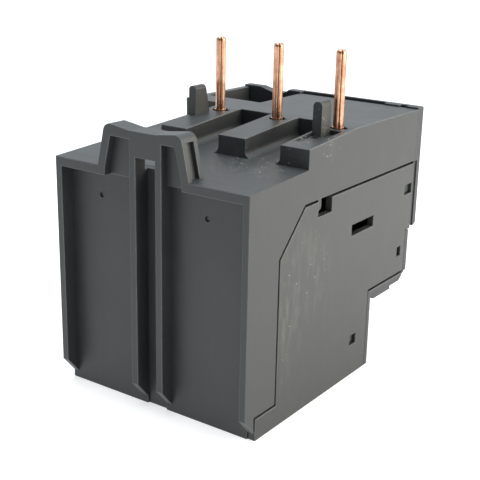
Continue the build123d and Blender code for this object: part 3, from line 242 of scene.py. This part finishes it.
world = bpy.data.worlds.new("white_room")
world.use_nodes = True
bpy.context.scene.world = world
sky = world.node_tree
room = sky.nodes["Background"]
room.inputs["Strength"].default_value = ROOM_STRENGTH
way = add(sky, "TexCoord").outputs["Generated"]
facing = add(sky, "VectorMath", {"operation": "DOT_PRODUCT"}, in0=way, in1=DIM_SIDE).outputs["Value"]
dim = add(sky, "MapRange", in0=facing, in1=DIM_START, in2=DIM_FULL, in3=0.0, in4=1.0)
rise = add(sky, "SeparateXYZ", in0=way).outputs["Z"]
above = add(sky, "MapRange", in0=rise, in1=BAND_START, in2=BAND_GONE, in3=0.0, in4=1.0)
dim_above = add(sky, "Math", {"operation": "MULTIPLY"}, in0=dim.outputs[0], in1=above.outputs[0])
room_tone = add(sky, "MixRGB", in0=dim_above.outputs[0], in1=linear(ROOM_WHITE), in2=linear(ROOM_DIM))
sky.links.new(room_tone.outputs[0], room.inputs["Color"])
print("the room is dim toward", [round(v, 2) for v in DIM_SIDE])

# %% Hang the lights
RELAY_MIDDLE = Vector((0, 0, 30 * MM))


def soft_light(name, place, size, power, hex_colour):
    """A square studio light, aimed at the middle of the relay."""
    data = bpy.data.lights.new(name, "AREA")
    data.size = size
    data.energy = power
    data.color = linear(hex_colour)[:3]
    light = bpy.data.objects.new(name, data)
    light.location = place
    aim = RELAY_MIDDLE - light.location
    light.rotation_euler = aim.to_track_quat("-Z", "Y").to_euler()
    bpy.context.scene.collection.objects.link(light)
    return light


lights = [
    soft_light("side_light", Vector((-520, -160, 210)) * MM, 700 * MM, 7.1, "#fff4e4"),
    soft_light("top_light", Vector((40, 20, 520)) * MM, 420 * MM, 2.7, "#eaf3fa"),
]
bpy.context.scene.view_settings.view_transform = "Standard"
print("lights:", [light.name for light in lights])

# %% [markdown]
# ## Moulded plastic
#
# The mouldings are glass-filled polyamide. The steel tool has a fine eroded grain, so the
# surface is matt and slightly speckled, and its charcoal tone is cloudy. One noise could
# stand for it all, but each mark has a size of its own, so each gets its own texture:
# clouds, grain, and scuffs that run up and down. The grain of the tool is about 0.2 mm.
# That is close to one pixel here, so it is drawn at 0.35 mm, coarse enough to show.

# %% Sizes of the marks in the plastic
GRAIN = 0.35 * MM
GRAIN_HEIGHT = 0.03 * MM
CLOUD = 7.0 * MM
SCUFF_WIDTH = 0.6 * MM
SCUFF_LENGTH = 14.0 * MM


def up_and_down(tree, here, width, length):
    """The place in a pattern whose marks are long in Z and narrow across it."""
    return add(tree, "Mapping", Vector=here, Scale=(1 / width, 1 / width, 1 / length)).outputs[0]


print("a cloud is as wide as", round(CLOUD / GRAIN), "grains")

# %% [markdown]
# ## Dust, and painted shade at the foot
#
# Specks of dust lie round the fingers, and a few lie on the side cover. Among them is a
# thin, smudged film. The faces that look to -X are darker toward the foot, and that is
# painted shade. A painted mask could place all this, but it would need an image. So the
# distance to a named place fades the dust out. Real specks are finer than a pixel, so they
# are drawn coarser, in cells of 0.75 mm, and only the few cells with a high random colour
# hold one.

# %% Two layers on a tone: dust, and painted shade at the foot
SPECK_CELL = 0.75 * MM
# A speck is solid up to the first share of its cell, and gone at the second
SPECK_SOLID = 0.10
SPECK_GONE = 0.22
SMUDGE_WIDTH = 1.3 * MM
SMUDGE_LENGTH = 5.0 * MM
SMUDGE_TONE = "#666860"
# The share of a dusty place's reach in which the dust is full
FULL_DUST = 0.4
# Painted shade: the faces that look to -X darken toward this tone at the floor, and not at all from this
# height up
FOOT_SHADE_TOP = 32.0 * MM
FOOT_SHADE_TONE = "#101112"


def dusty(tree, here, tone, place, reach, rare, dust_tone):
    """Lay a smudged film and specks of dust over a tone, near a place."""
    far = add(tree, "VectorMath", {"operation": "DISTANCE"}, in0=here, in1=place).outputs["Value"]
    near = add(tree, "MapRange", in0=far, in1=reach * FULL_DUST, in2=reach, in3=1.0, in4=0.0)
    blotch = up_and_down(tree, here, SMUDGE_WIDTH, SMUDGE_LENGTH)
    smudge = add(tree, "TexNoise", Vector=blotch, Scale=1.0, Detail=6.0, Roughness=0.7)
    film = add(tree, "MapRange", in0=smudge.outputs[0], in1=0.48, in2=0.75, in3=0.0, in4=0.42)
    haze = add(tree, "Math", {"operation": "MULTIPLY"}, in0=film.outputs[0], in1=near.outputs[0])
    tone = add(tree, "MixRGB", in0=haze.outputs[0], in1=tone.outputs[0], in2=linear(SMUDGE_TONE))
    cells = add(tree, "TexVoronoi", Vector=here, Scale=1 / SPECK_CELL)
    middle = cells.outputs["Distance"]
    dots = add(tree, "MapRange", in0=middle, in1=SPECK_SOLID, in2=SPECK_GONE, in3=1.0, in4=0.0)
    chosen = add(tree, "SeparateColor", in0=cells.outputs["Color"])
    few = add(tree, "Math", {"operation": "GREATER_THAN"}, in0=chosen.outputs[0], in1=rare)
    specks = add(tree, "Math", {"operation": "MULTIPLY"}, in0=dots.outputs[0], in1=few.outputs[0])
    amount = add(tree, "Math", {"operation": "MULTIPLY"}, in0=specks.outputs[0], in1=near.outputs[0])
    return add(tree, "MixRGB", in0=amount.outputs[0], in1=tone.outputs[0], in2=linear(dust_tone))


def paint_foot_shade(tree, here, tone, grime):
    """Paint shade into a tone: darker toward the foot, on the faces that look to -X."""
    height = add(tree, "SeparateXYZ", in0=here).outputs["Z"]
    low = add(tree, "MapRange", in0=height, in1=0.0, in2=FOOT_SHADE_TOP, in3=grime, in4=0.0)
    outward = add(tree, "SeparateXYZ", in0=add(tree, "NewGeometry").outputs["True Normal"]).outputs["X"]
    left = add(tree, "MapRange", in0=outward, in1=-0.2, in2=-0.8, in3=0.0, in4=1.0)
    amount = add(tree, "Math", {"operation": "MULTIPLY"}, in0=low.outputs[0], in1=left.outputs[0])
    return add(tree, "MixRGB", in0=amount.outputs[0], in1=tone.outputs[0], in2=linear(FOOT_SHADE_TONE))


print("the grime ends", round(FOOT_SHADE_TOP / MM), "mm above the floor")

# %% The moulded plastic itself
MATT = 0.45


def moulded_plastic(
    name, body, pale, roughness=MATT, grain=0.35, wear=0.0, dust=(), dust_tone="#bdbfbc", grime=0.3
):
    """Matt moulded plastic: cloudy tone, scuffs, eroded grain, dust near places, and painted shade at the
    foot.
    """
    material, tree = new_material(name)
    here = add(tree, "TexCoord").outputs["Object"]
    cloud = add(tree, "TexNoise", Vector=here, Scale=1 / CLOUD, Detail=4.0, Roughness=0.6)
    fine = add(tree, "TexNoise", Vector=here, Scale=1 / GRAIN, Detail=2.0, Roughness=0.7)
    stretch = up_and_down(tree, here, SCUFF_WIDTH, SCUFF_LENGTH)
    scuff = add(tree, "TexNoise", Vector=stretch, Scale=1.0, Detail=3.0)
    cloud_mix = add(tree, "MapRange", in0=cloud.outputs[0], in1=0.3, in2=0.75, in3=0.0, in4=0.45)
    tone = add(tree, "MixRGB", in0=cloud_mix.outputs[0], in1=linear(body), in2=linear(pale))
    scuff_mix = add(tree, "MapRange", in0=scuff.outputs[0], in1=0.55, in2=0.8, in3=0.0, in4=0.35 + wear)
    tone = add(tree, "MixRGB", in0=scuff_mix.outputs[0], in1=tone.outputs[0], in2=linear(pale))
    speckle = add(tree, "MapRange", in0=fine.outputs[0], in1=0.35, in2=0.75, in3=0.0, in4=0.35)
    tone = add(tree, "MixRGB", in0=speckle.outputs[0], in1=tone.outputs[0], in2=linear(pale))
    for place, reach, rare in dust:
        tone = dusty(tree, here, tone, place, reach, rare, dust_tone)
    # Painted shade: the faces that look to -X get darker toward the foot
    tone = paint_foot_shade(tree, here, tone, grime)
    matt = add(
        tree, "MapRange", in0=cloud.outputs[0], in1=0.2, in2=0.8,
        in3=roughness - 0.05, in4=roughness + 0.08,
    )
    bump = add(tree, "Bump", Strength=grain, Distance=GRAIN_HEIGHT, Height=fine.outputs[0])
    shader = add(
        tree, "BsdfPrincipled", Base_Color=tone.outputs[0], Roughness=matt.outputs[0],
        IOR=1.5, Normal=bump.outputs[0],
    )
    add(tree, "OutputMaterial", Surface=shader.outputs[0])
    return material


print("the plain roughness is", MATT)

# %% [markdown]
# ## Four plastics and their worn edges
#
# The housing, the side cover, the front panel and the terminal blocks are moulded apart,
# so each has a charcoal of its own. Handling polishes and lightens the edges. A
# Pointiness node could find them, but it works only in the Cycles renderer. So a paler
# material with hardly any grain goes on the rounded edges alone.

# %% Make the plastics
# Each dusty place has its middle, its reach, and how rare a speck is there
HOUSING_DUST = [
    (Vector((-12.5, 19.0, 47.0)) * MM, 10.0 * MM, 0.8),
    (Vector((-1.0, 11.0, 47.0)) * MM, 6.0 * MM, 0.8),
    (Vector((-19.5, 9.0, 52.5)) * MM, 6.0 * MM, 0.75),
]
COVER_DUST = [
    (Vector((-22.5, 18.0, 26.0)) * MM, 13.0 * MM, 0.985),
    (Vector((-22.5, 26.0, 16.0)) * MM, 11.0 * MM, 0.985),
]
WORN_GRAIN = 0.1

# Housing: a neutral charcoal with dust on its top
housing_polyamide = moulded_plastic("housing_polyamide", "#2a2d2e", "#383b3c", dust=HOUSING_DUST)
housing_edge = moulded_plastic("housing_polyamide_worn_edge", "#3b3e40", "#6a6e70", grain=WORN_GRAIN)
# Side cover: its clouds are olive, it is scuffed, and the shade painted at its foot is deeper
cover_polyamide = moulded_plastic(
    "cover_polyamide", "#2a2e30", "#41423d",
    wear=0.12, dust=COVER_DUST, dust_tone="#8f918e", grime=0.58,
)
cover_edge = moulded_plastic("cover_polyamide_worn_edge", "#3c3f40", "#6e7171", grain=WORN_GRAIN)
# Front panel: the darkest, and a little bluish
panel_polyamide = moulded_plastic("panel_polyamide", "#232629", "#303337", wear=0.1)
# Terminal blocks: a little rougher, so they look duller
terminal_polyamide = moulded_plastic("terminal_polyamide", "#26282a", "#34373a", roughness=0.5)
terminal_edge = moulded_plastic("terminal_polyamide_worn_edge", "#383b3d", "#5c6062", grain=WORN_GRAIN)
print("plastics:", [m.name for m in bpy.data.materials if "polyamide" in m.name])

# %% [markdown]
# ## Rounded edges on the moulded pieces
#
# A moulded edge is never razor sharp: it has a radius of a tenth of a millimetre or two,
# and that radius catches the light as a thin bright line. A Bevel modifier could do it, but its width
# is one number, and one tiny face would spoil the whole piece. So each sharp edge gets a
# bevel weight of its own, which is smaller where the faces next to it are small. The
# bevel faces take the worn-edge material.

# %% A rounded copy of a CAD piece
SHARP = math.radians(32)
FLAT = math.radians(0.8)
CURVED = 0.01
WELD = 0.002 * MM
BROAD = 12 * MM * MM
GOES_ON = math.cos(math.radians(135))
# A bevel takes at most this share of the shortest edge beside it
SHARE = 0.42
TOO_NARROW = 0.25
BEVEL_STEPS = 2


def heading(edge, vert):
    """The direction in which an edge leaves one of its ends."""
    return (edge.other_vert(vert).co - vert.co).normalized()


def even_out(widths):
    """Give each run of edges, end to end without a sharp turn, its smallest width."""
    left = set(widths)
    while left:
        run = []
        reached = [left.pop()]
        while reached:
            edge = reached.pop()
            run.append(edge)
            for vert in edge.verts:
                for other in vert.link_edges:
                    if other in left and heading(edge, vert).dot(heading(other, vert)) < GOES_ON:
                        left.remove(other)
                        reached.append(other)
        narrow = min(widths[edge] for edge in run)
        if narrow < TOO_NARROW:
            narrow = 0.0
        for edge in run:
            widths[edge] = narrow


def rounded_copy(node_name, radius, body_material, edge_material):
    """Copy a CAD node, round its sharp edges and let the copy stand for the node."""
    source = nodes[node_name]
    mesh = source.data.copy()
    mesh.materials.clear()
    shape = bmesh.new()
    shape.from_mesh(mesh)
    bmesh.ops.remove_doubles(shape, verts=shape.verts, dist=WELD)
    bmesh.ops.dissolve_limit(
        shape, angle_limit=FLAT, verts=shape.verts, edges=shape.edges, delimit={"NORMAL"}
    )
    weights = shape.edges.layers.float.new("bevel_weight_edge")
    widths = {}
    for edge in shape.edges:
        if len(edge.link_faces) != 2 or edge.calc_face_angle(0.0) < SHARP:
            continue
        edge.smooth = False
        if edge.is_convex:
            room_here = min(
                other.calc_length() for vert in edge.verts for other in vert.link_edges if other is not edge
            )
            widths[edge] = min(1.0, SHARE * room_here / radius)
    even_out(widths)
    for edge, width in widths.items():
        edge[weights] = width
    for face in shape.faces:
        bends = [edge.calc_face_angle(0.0) for edge in face.edges]
        curved = any(CURVED < bend < SHARP for bend in bends)
        face.material_index = 0
        face.smooth = curved and face.calc_area() < BROAD
    shape.to_mesh(mesh)
    shape.free()
    copy = bpy.data.objects.new(node_name + "_moulding", mesh)
    bpy.context.scene.collection.objects.link(copy)
    copy.data.materials.append(body_material)
    copy.data.materials.append(edge_material)
    bevel = copy.modifiers.new("rounded_edges", "BEVEL")
    bevel.limit_method = "WEIGHT"
    bevel.width = radius
    bevel.segments = BEVEL_STEPS
    bevel.use_clamp_overlap = False
    bevel.material = 1
    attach(copy, source["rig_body"])
    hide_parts(node_name)
    return copy


EDGE = 0.14 * MM
mouldings = {
    "main_housing": ("housing_plastic", housing_polyamide, housing_edge),
    "front_panel": ("housing_plastic", panel_polyamide, terminal_edge),
    "side_cover": ("cover_plastic", cover_polyamide, cover_edge),
    "main_terminal_block": ("terminal_plastic", terminal_polyamide, terminal_edge),
    "aux_terminal_block": ("terminal_plastic", terminal_polyamide, terminal_edge),
}
for node_name, (slot, body_material, edge_material) in mouldings.items():
    moulding = rounded_copy(node_name, EDGE, body_material, edge_material)
    print(moulding.name, "has", len(moulding.data.polygons), "faces before the bevel")

# %% [markdown]
# ## Copper, tin, zinc and spring steel
#
# Bare metal shows how it was made. A drawn rod has streaks along its length, a rolled
# strip has them along the strip, and all of it tarnishes in clouds. Streaks could be
# scratches in the mesh, but they are far finer than a pixel. So noise is stretched along
# one axis of the object, and it drives the tone, the roughness and a slight bump. Real
# streaks are a few hundredths of a millimetre wide. They are drawn coarser, at 0.16 mm.

# %% Make the metals
TARNISH = 2.6 * MM
DRAW_WIDTH = 0.16 * MM
DRAW_LENGTH = 9.0 * MM
STREAK_HEIGHT = 0.02 * MM


def worked_metal(name, bright, tarnished, roughness, along="Z", stain=0.5):
    """Metal with streaks along one axis and clouds of tarnish."""
    material, tree = new_material(name)
    here = add(tree, "TexCoord").outputs["Object"]
    scale = [1 / DRAW_WIDTH] * 3
    scale["XYZ".index(along)] = 1 / DRAW_LENGTH
    stretch = add(tree, "Mapping", Vector=here, Scale=scale)
    streak = add(tree, "TexNoise", Vector=stretch.outputs[0], Scale=1.0, Detail=3.0)
    cloud = add(tree, "TexNoise", Vector=here, Scale=1 / TARNISH, Detail=4.0, Roughness=0.65)
    stained = add(tree, "MapRange", in0=cloud.outputs[0], in1=0.35, in2=0.72, in3=0.0, in4=stain)
    tone = add(tree, "MixRGB", in0=stained.outputs[0], in1=linear(bright), in2=linear(tarnished))
    fine = add(tree, "MapRange", in0=streak.outputs[0], in1=0.35, in2=0.7, in3=0.0, in4=0.45)
    tone = add(tree, "MixRGB", in0=fine.outputs[0], in1=tone.outputs[0], in2=linear(tarnished))
    gloss = add(
        tree, "MapRange", in0=streak.outputs[0], in1=0.3, in2=0.8, in3=roughness, in4=roughness + 0.18
    )
    bump = add(tree, "Bump", Strength=0.15, Distance=STREAK_HEIGHT, Height=streak.outputs[0])
    shader = add(
        tree, "BsdfPrincipled", Base_Color=tone.outputs[0], Metallic=1.0, Roughness=gloss.outputs[0],
        Normal=bump.outputs[0],
    )
    add(tree, "OutputMaterial", Surface=shader.outputs[0])
    return material


# Drawn copper: warm, with brown tarnish. A darker copper goes on its seam as painted shade in the groove.
drawn_copper = worked_metal("drawn_copper", "#e8bc9f", "#8e543a", 0.2, "Z", 0.8)
seam_copper_painted_shade = worked_metal("drawn_copper_tarnished_seam", "#86573f", "#543526", 0.4, "Z", 0.8)
# Tinned copper strip: a grey white film with a slight warmth
tinned_copper = worked_metal("tinned_copper_strip", "#d9d4c8", "#a79f90", 0.32, "X", 0.5)
# Zinc plate with a clear chromate: bluish, with a faint yellow in the clouds
zinc_plate = worked_metal("zinc_plate", "#c9cfd4", "#a8a58e", 0.3, "Y", 0.6)
# Hard drawn spring wire: bright grey
spring_wire = worked_metal("spring_wire", "#b9bbbd", "#7d7f82", 0.28, "Y", 0.4)
# Rolled bimetal: nickel iron, yellowish grey and satin
rolled_bimetal = worked_metal("rolled_bimetal", "#bfbbb0", "#a39d8e", 0.38, "Z", 0.5)
# Heater ribbon: chromium alloy that has been hot, brown and straw coloured
heater_ribbon = worked_metal("heater_ribbon", "#aca596", "#7f7363", 0.42, "X", 0.7)
metals = [
    drawn_copper, seam_copper_painted_shade, tinned_copper, zinc_plate, spring_wire, rolled_bimetal, heater_ribbon,
]
print("metals:", [metal.name for metal in metals])

# %% [markdown]
# ## Smooth mouldings for the controls and the trip parts
#
# The dial, the buttons and the moving trip parts are unfilled plastics, moulded in
# polished tools. They are smoother and a little glossier than the housing, with faint
# flow marks in the tone. One flat colour would do from afar, but the clear flap and the
# pale acetal need more: light goes through the flap, and a little way into the acetal.
# Real dust is finer than a pixel, so it is drawn coarser, at 0.25 mm.

# %% Make the smooth plastics
FLOW = 3.5 * MM
FINE_DUST = 0.25 * MM
DUST_HEIGHT = 0.02 * MM
WAX_DEPTH = 0.4


def smooth_moulding(name, body, shade, roughness, clear=0.0, waxy=0.0):
    """Unfilled plastic: faint flow marks in the tone, fine dust in the gloss and the bump."""
    material, tree = new_material(name)
    here = add(tree, "TexCoord").outputs["Object"]
    flow = add(tree, "TexNoise", Vector=here, Scale=1 / FLOW, Detail=3.0, Distortion=0.6)
    dust = add(tree, "TexNoise", Vector=here, Scale=1 / FINE_DUST, Detail=2.0)
    amount = add(tree, "MapRange", in0=flow.outputs[0], in1=0.35, in2=0.7, in3=0.0, in4=0.6)
    tone = add(tree, "MixRGB", in0=amount.outputs[0], in1=linear(body), in2=linear(shade))
    gloss = add(tree, "MapRange", in0=dust.outputs[0], in1=0.3, in2=0.8, in3=roughness, in4=roughness + 0.15)
    bump = add(tree, "Bump", Strength=0.08, Distance=DUST_HEIGHT, Height=dust.outputs[0])
    shader = add(
        tree, "BsdfPrincipled", Base_Color=tone.outputs[0], Roughness=gloss.outputs[0], IOR=1.48,
        Transmission_Weight=clear, Subsurface_Weight=waxy, Subsurface_Radius=(MM, MM, MM),
        Subsurface_Scale=WAX_DEPTH, Normal=bump.outputs[0],
    )
    add(tree, "OutputMaterial", Surface=shader.outputs[0])
    return material


# Natural acetal: creamy and slightly waxy
natural_acetal = smooth_moulding("natural_acetal", "#ddd6c4", "#c9c0aa", 0.36, waxy=0.15)
# White acetal: a cleaner, colder white than the natural one
dial_acetal = smooth_moulding("white_dial_acetal", "#e2e2de", "#cfcfca", 0.3, waxy=0.1)
# Coloured acetal: dense and glossy for the buttons, a little duller for the flag
blue_button = smooth_moulding("blue_button_acetal", "#1f5fb4", "#1a4f98", 0.28)
red_button = smooth_moulding("red_button_acetal", "#c32a20", "#a8231b", 0.28)
orange_flag = smooth_moulding("orange_flag_acetal", "#ee7d12", "#d66c0a", 0.35)
# Clear polycarbonate: light goes straight through, and the surface is shiny
clear_polycarbonate = smooth_moulding("clear_polycarbonate", "#fbfdfd", "#f2f7f8", 0.03, clear=1.0)
# Printing ink: white and rather matt
scale_ink = smooth_moulding("white_scale_ink", "#f2f2ee", "#e2e2de", 0.5)
print("smooth plastics:", [m.name for m in bpy.data.materials if "acetal" in m.name])

# %% [markdown]
# ## The controls and the screws
#
# The dial, the sleeve, the buttons, the slider and the flap get soft edges in the same
# way as the housing, and so do the plated steel screws and washers. A worn edge like that
# of the housing could go on them too, but it would look wrong: these pieces are hardly
# touched. So each piece has one material all over.

# %% Round the controls and the screws
SMALL_EDGE = 0.12 * MM
controls = {
    "setting_dial": ("dial_plastic", dial_acetal),
    "mode_sleeve": ("dial_plastic", dial_acetal),
    "reset_button": ("reset_plastic", blue_button),
    "stop_button": ("stop_plastic", red_button),
    "test_slider": ("mechanism_plastic", natural_acetal),
    "dial_flap": ("clear_flap", clear_polycarbonate),
    "flap_hinge_pin": ("zinc_steel", zinc_plate),
    "trip_indicator": ("flag_plastic", orange_flag),
}
for node_name, (slot, material) in controls.items():
    rounded_copy(node_name, SMALL_EDGE, material, material)
screws = [name for name in nodes if name.startswith(("main_screw", "main_clamp", "aux_screw", "aux_clamp"))]
for node_name in screws:
    rounded_copy(node_name, SMALL_EDGE, zinc_plate, zinc_plate)
print("rounded:", len(controls), "controls and", len(screws), "screws and washers")

# %% [markdown]
# ## The mechanism inside
#
# The heaters, bimetals, trip bars and contacts can be seen through the windows of the
# side cover and at the terminals. Their CAD shape is right as it is, so they keep their
# meshes and only get the metal or plastic that they are made of.

# %% Give the inner parts their materials
inner_finish = {
    "heater_winding": heater_ribbon,
    "bimetal_strip": rolled_bimetal,
    "compensating_lever": rolled_bimetal,
    "terminal_bar": tinned_copper,
    "aux_contact_plate": tinned_copper,
    "nc_bridge": tinned_copper,
    "no_bridge": tinned_copper,
    "rocker_pin": zinc_plate,
    "driver": natural_acetal,
    "follower_bar": natural_acetal,
    "adjuster_slide": natural_acetal,
    "trip_rocker": natural_acetal,
    "dial_cam": natural_acetal,
}
dressed = 0
for node_name, node in nodes.items():
    for start, material in inner_finish.items():
        if node_name.startswith(start):
            node.data.materials.clear()
            node.data.materials.append(material)
            dressed += 1
print("inner parts with a material:", dressed)

# %% [markdown]
# ## The two coil springs
#
# Each button pushes on a small coil spring. When the button goes in, its spring gets
# shorter by the same travel, so a spring that kept its length would stick through the
# button. Each spring here is a copy of the CAD coil in spring wire, on the CAD spring's body.


def button_spring(node_name):
    """A copy of a CAD spring in spring wire, on the CAD spring's body."""
    source = nodes[node_name]
    mesh = source.data.copy()
    mesh.materials.clear()
    mesh.materials.append(spring_wire)
    for polygon in mesh.polygons:
        polygon.use_smooth = True
    coil = bpy.data.objects.new(node_name + "_coil", mesh)
    bpy.context.scene.collection.objects.link(coil)
    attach(coil, source["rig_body"])
    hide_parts(node_name)
    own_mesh(coil)
    return coil


springs = [
    button_spring("reset_spring"),
    button_spring("stop_spring"),
]
print("springs:", [spring.name for spring in springs])

# %% [markdown]
# ## The copper pins
#
# Each pin is a strip of copper rolled into a rod, so a seam runs down it, which opens a
# little at the foot and makes a notch in the crown. A cylinder with a texture would not
# show that notch against the white. So the rod is built as rings of points: at each
# height and angle a formula gives the radius, and it dips at the seam. Below the deck
# the pin keeps its CAD shape, with its flat arm to the heater.

# %% Build the pins
PIN_RADIUS = 1.0 * MM
PIN_CHAMFER = 0.35 * MM
SEAM_ANGLE = math.radians(127)
SEAM_WIDTH = 0.12 * MM
SEAM_DEPTH = 0.2 * MM
CROWN = 0.9 * MM
FOOT = 2.6 * MM
# How much wider the seam gets at the foot and in the crown
FOOT_OPENING = 1.6
CROWN_OPENING = 0.7
RING_POINTS = 64
RING_STEP = 0.35 * MM
TOP_BAND = 0.05 * MM
CUT_ABOVE = 0.01 * MM
# One more ring, this far below the top, bulges the chamfer
BULGE_DROP = 0.1 * MM
BULGE = 0.6


def seam_reach(height, low, high):
    """Half the seam's width as an angle: it opens at the foot and in the crown."""
    opening = 1.0 + FOOT_OPENING * max(0.0, 1 - (height - low) / FOOT) ** 2
    opening += CROWN_OPENING * max(0.0, 1 - (high - height) / CROWN)
    return SEAM_WIDTH * opening / PIN_RADIUS


def rolled_pin(node_name):
    """A rolled copper pin on the CAD root, in the place of the CAD node."""
    source = nodes[node_name]
    low_corner, high_corner = (Vector(corner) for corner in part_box(node_name))
    shape = bmesh.new()
    shape.from_mesh(source.data)
    shape.transform(source.matrix_world)
    top_points = [v.co for v in shape.verts if v.co.z > high_corner.z - TOP_BAND]
    centre = sum(top_points, Vector()) / len(top_points)
    # The arm's points lie outside the rod, so the highest of them is where the rod starts
    rod_low = max(v.co.z for v in shape.verts if (v.co.xy - centre.xy).length > PIN_RADIUS * 1.1)
    cut = shape.verts[:] + shape.edges[:] + shape.faces[:]
    bmesh.ops.bisect_plane(
        shape, geom=cut, plane_co=(0, 0, rod_low + CUT_ABOVE), plane_no=(0, 0, 1), clear_outer=True
    )
    for face in shape.faces:
        face.smooth = False
    steps = int((high_corner.z - rod_low) / RING_STEP)
    heights = [rod_low + (high_corner.z - PIN_CHAMFER - rod_low) * i / steps for i in range(steps + 1)]
    rings = [(height, PIN_RADIUS) for height in heights]
    rings.append((high_corner.z - BULGE_DROP, PIN_RADIUS - PIN_CHAMFER * BULGE))
    rings.append((high_corner.z, PIN_RADIUS - PIN_CHAMFER))
    last = None
    for height, radius in rings:
        reach = seam_reach(height, rod_low, high_corner.z)
        ring = []
        for i in range(RING_POINTS):
            angle = SEAM_ANGLE + 2 * math.pi * i / RING_POINTS
            off = abs((angle - SEAM_ANGLE + math.pi) % (2 * math.pi) - math.pi)
            here = radius - SEAM_DEPTH * max(0.0, 1 - off / reach) ** 0.6
            ring.append(shape.verts.new((
                centre.x + here * math.cos(angle), centre.y + here * math.sin(angle), height
            )))
        if last:
            for i in range(RING_POINTS):
                j = (i + 1) % RING_POINTS
                face = shape.faces.new((last[i], last[j], ring[j], ring[i]))
                face.smooth = True
                # The middle of the seam takes the darker copper, which is painted shade in the groove
                middle = min(i, RING_POINTS - 1 - i) * 2 * math.pi / RING_POINTS
                face.material_index = 1 if middle < reach * 0.6 else 0
        last = ring
    shape.faces.new(last).smooth = False
    mesh = bpy.data.meshes.new(node_name + "_rolled")
    shape.to_mesh(mesh)
    shape.free()
    pin = bpy.data.objects.new(node_name + "_rolled", mesh)
    bpy.context.scene.collection.objects.link(pin)
    mesh.materials.append(drawn_copper)
    mesh.materials.append(seam_copper_painted_shade)
    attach(pin, source["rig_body"])
    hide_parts(node_name)
    return pin


pins = [rolled_pin(f"contact_pin_{i}") for i in (1, 2, 3)]
print("faces of a pin:", len(pins[0].data.polygons))

# %% [markdown]
# ## Numbers round the dial
#
# The dial is set to the motor's current, so plain numbers stand round it on the panel,
# under the clear flap. They are printed, and ink stands up by only a few hundredths of a
# millimetre. Text is turned into a thin mesh here, because a mesh keeps its shape
# wherever the model is opened.

# %% Print the numbers
NUMBER_SIZE = 1.8 * MM
NUMBER_RADIUS = 7.6 * MM
INK = 0.03 * MM
# The foremost pieces stand proud of the panel's face by this much
BUTTONS_PROUD = 5.5 * MM
PANEL_FACE = cad_low.y + BUTTONS_PROUD
dial_low, dial_high = (Vector(corner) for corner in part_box("setting_dial"))
dial_centre = (dial_low + dial_high) / 2


def printed_number(text, turn):
    """A number beside the dial, printed on the panel's face."""
    curve = bpy.data.curves.new("number_" + text, "FONT")
    curve.body = text
    curve.size = NUMBER_SIZE
    curve.align_x = "CENTER"
    curve.align_y = "CENTER"
    curve.extrude = INK / 2
    lettering = bpy.data.objects.new("number_curve", curve)
    bpy.context.scene.collection.objects.link(lettering)
    bpy.context.view_layer.update()
    mesh = bpy.data.meshes.new_from_object(lettering)
    bpy.data.objects.remove(lettering)
    mesh.transform(Matrix.Rotation(math.radians(90), 4, "X"))
    number = bpy.data.objects.new("dial_number_" + text, mesh)
    bpy.context.scene.collection.objects.link(number)
    number.location = (
        dial_centre.x + NUMBER_RADIUS * math.sin(turn), PANEL_FACE - INK / 2,
        dial_centre.z + NUMBER_RADIUS * math.cos(turn),
    )
    mesh.materials.clear()
    mesh.materials.append(scale_ink)
    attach(number, nodes["front_panel"]["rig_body"])
    return number


SWEEP = math.radians(270)
numbers = ["9", "10", "11", "12", "13"]
for i, text in enumerate(numbers):
    printed_number(text, SWEEP * (i / (len(numbers) - 1) - 0.5))
print("numbers on the panel:", numbers)
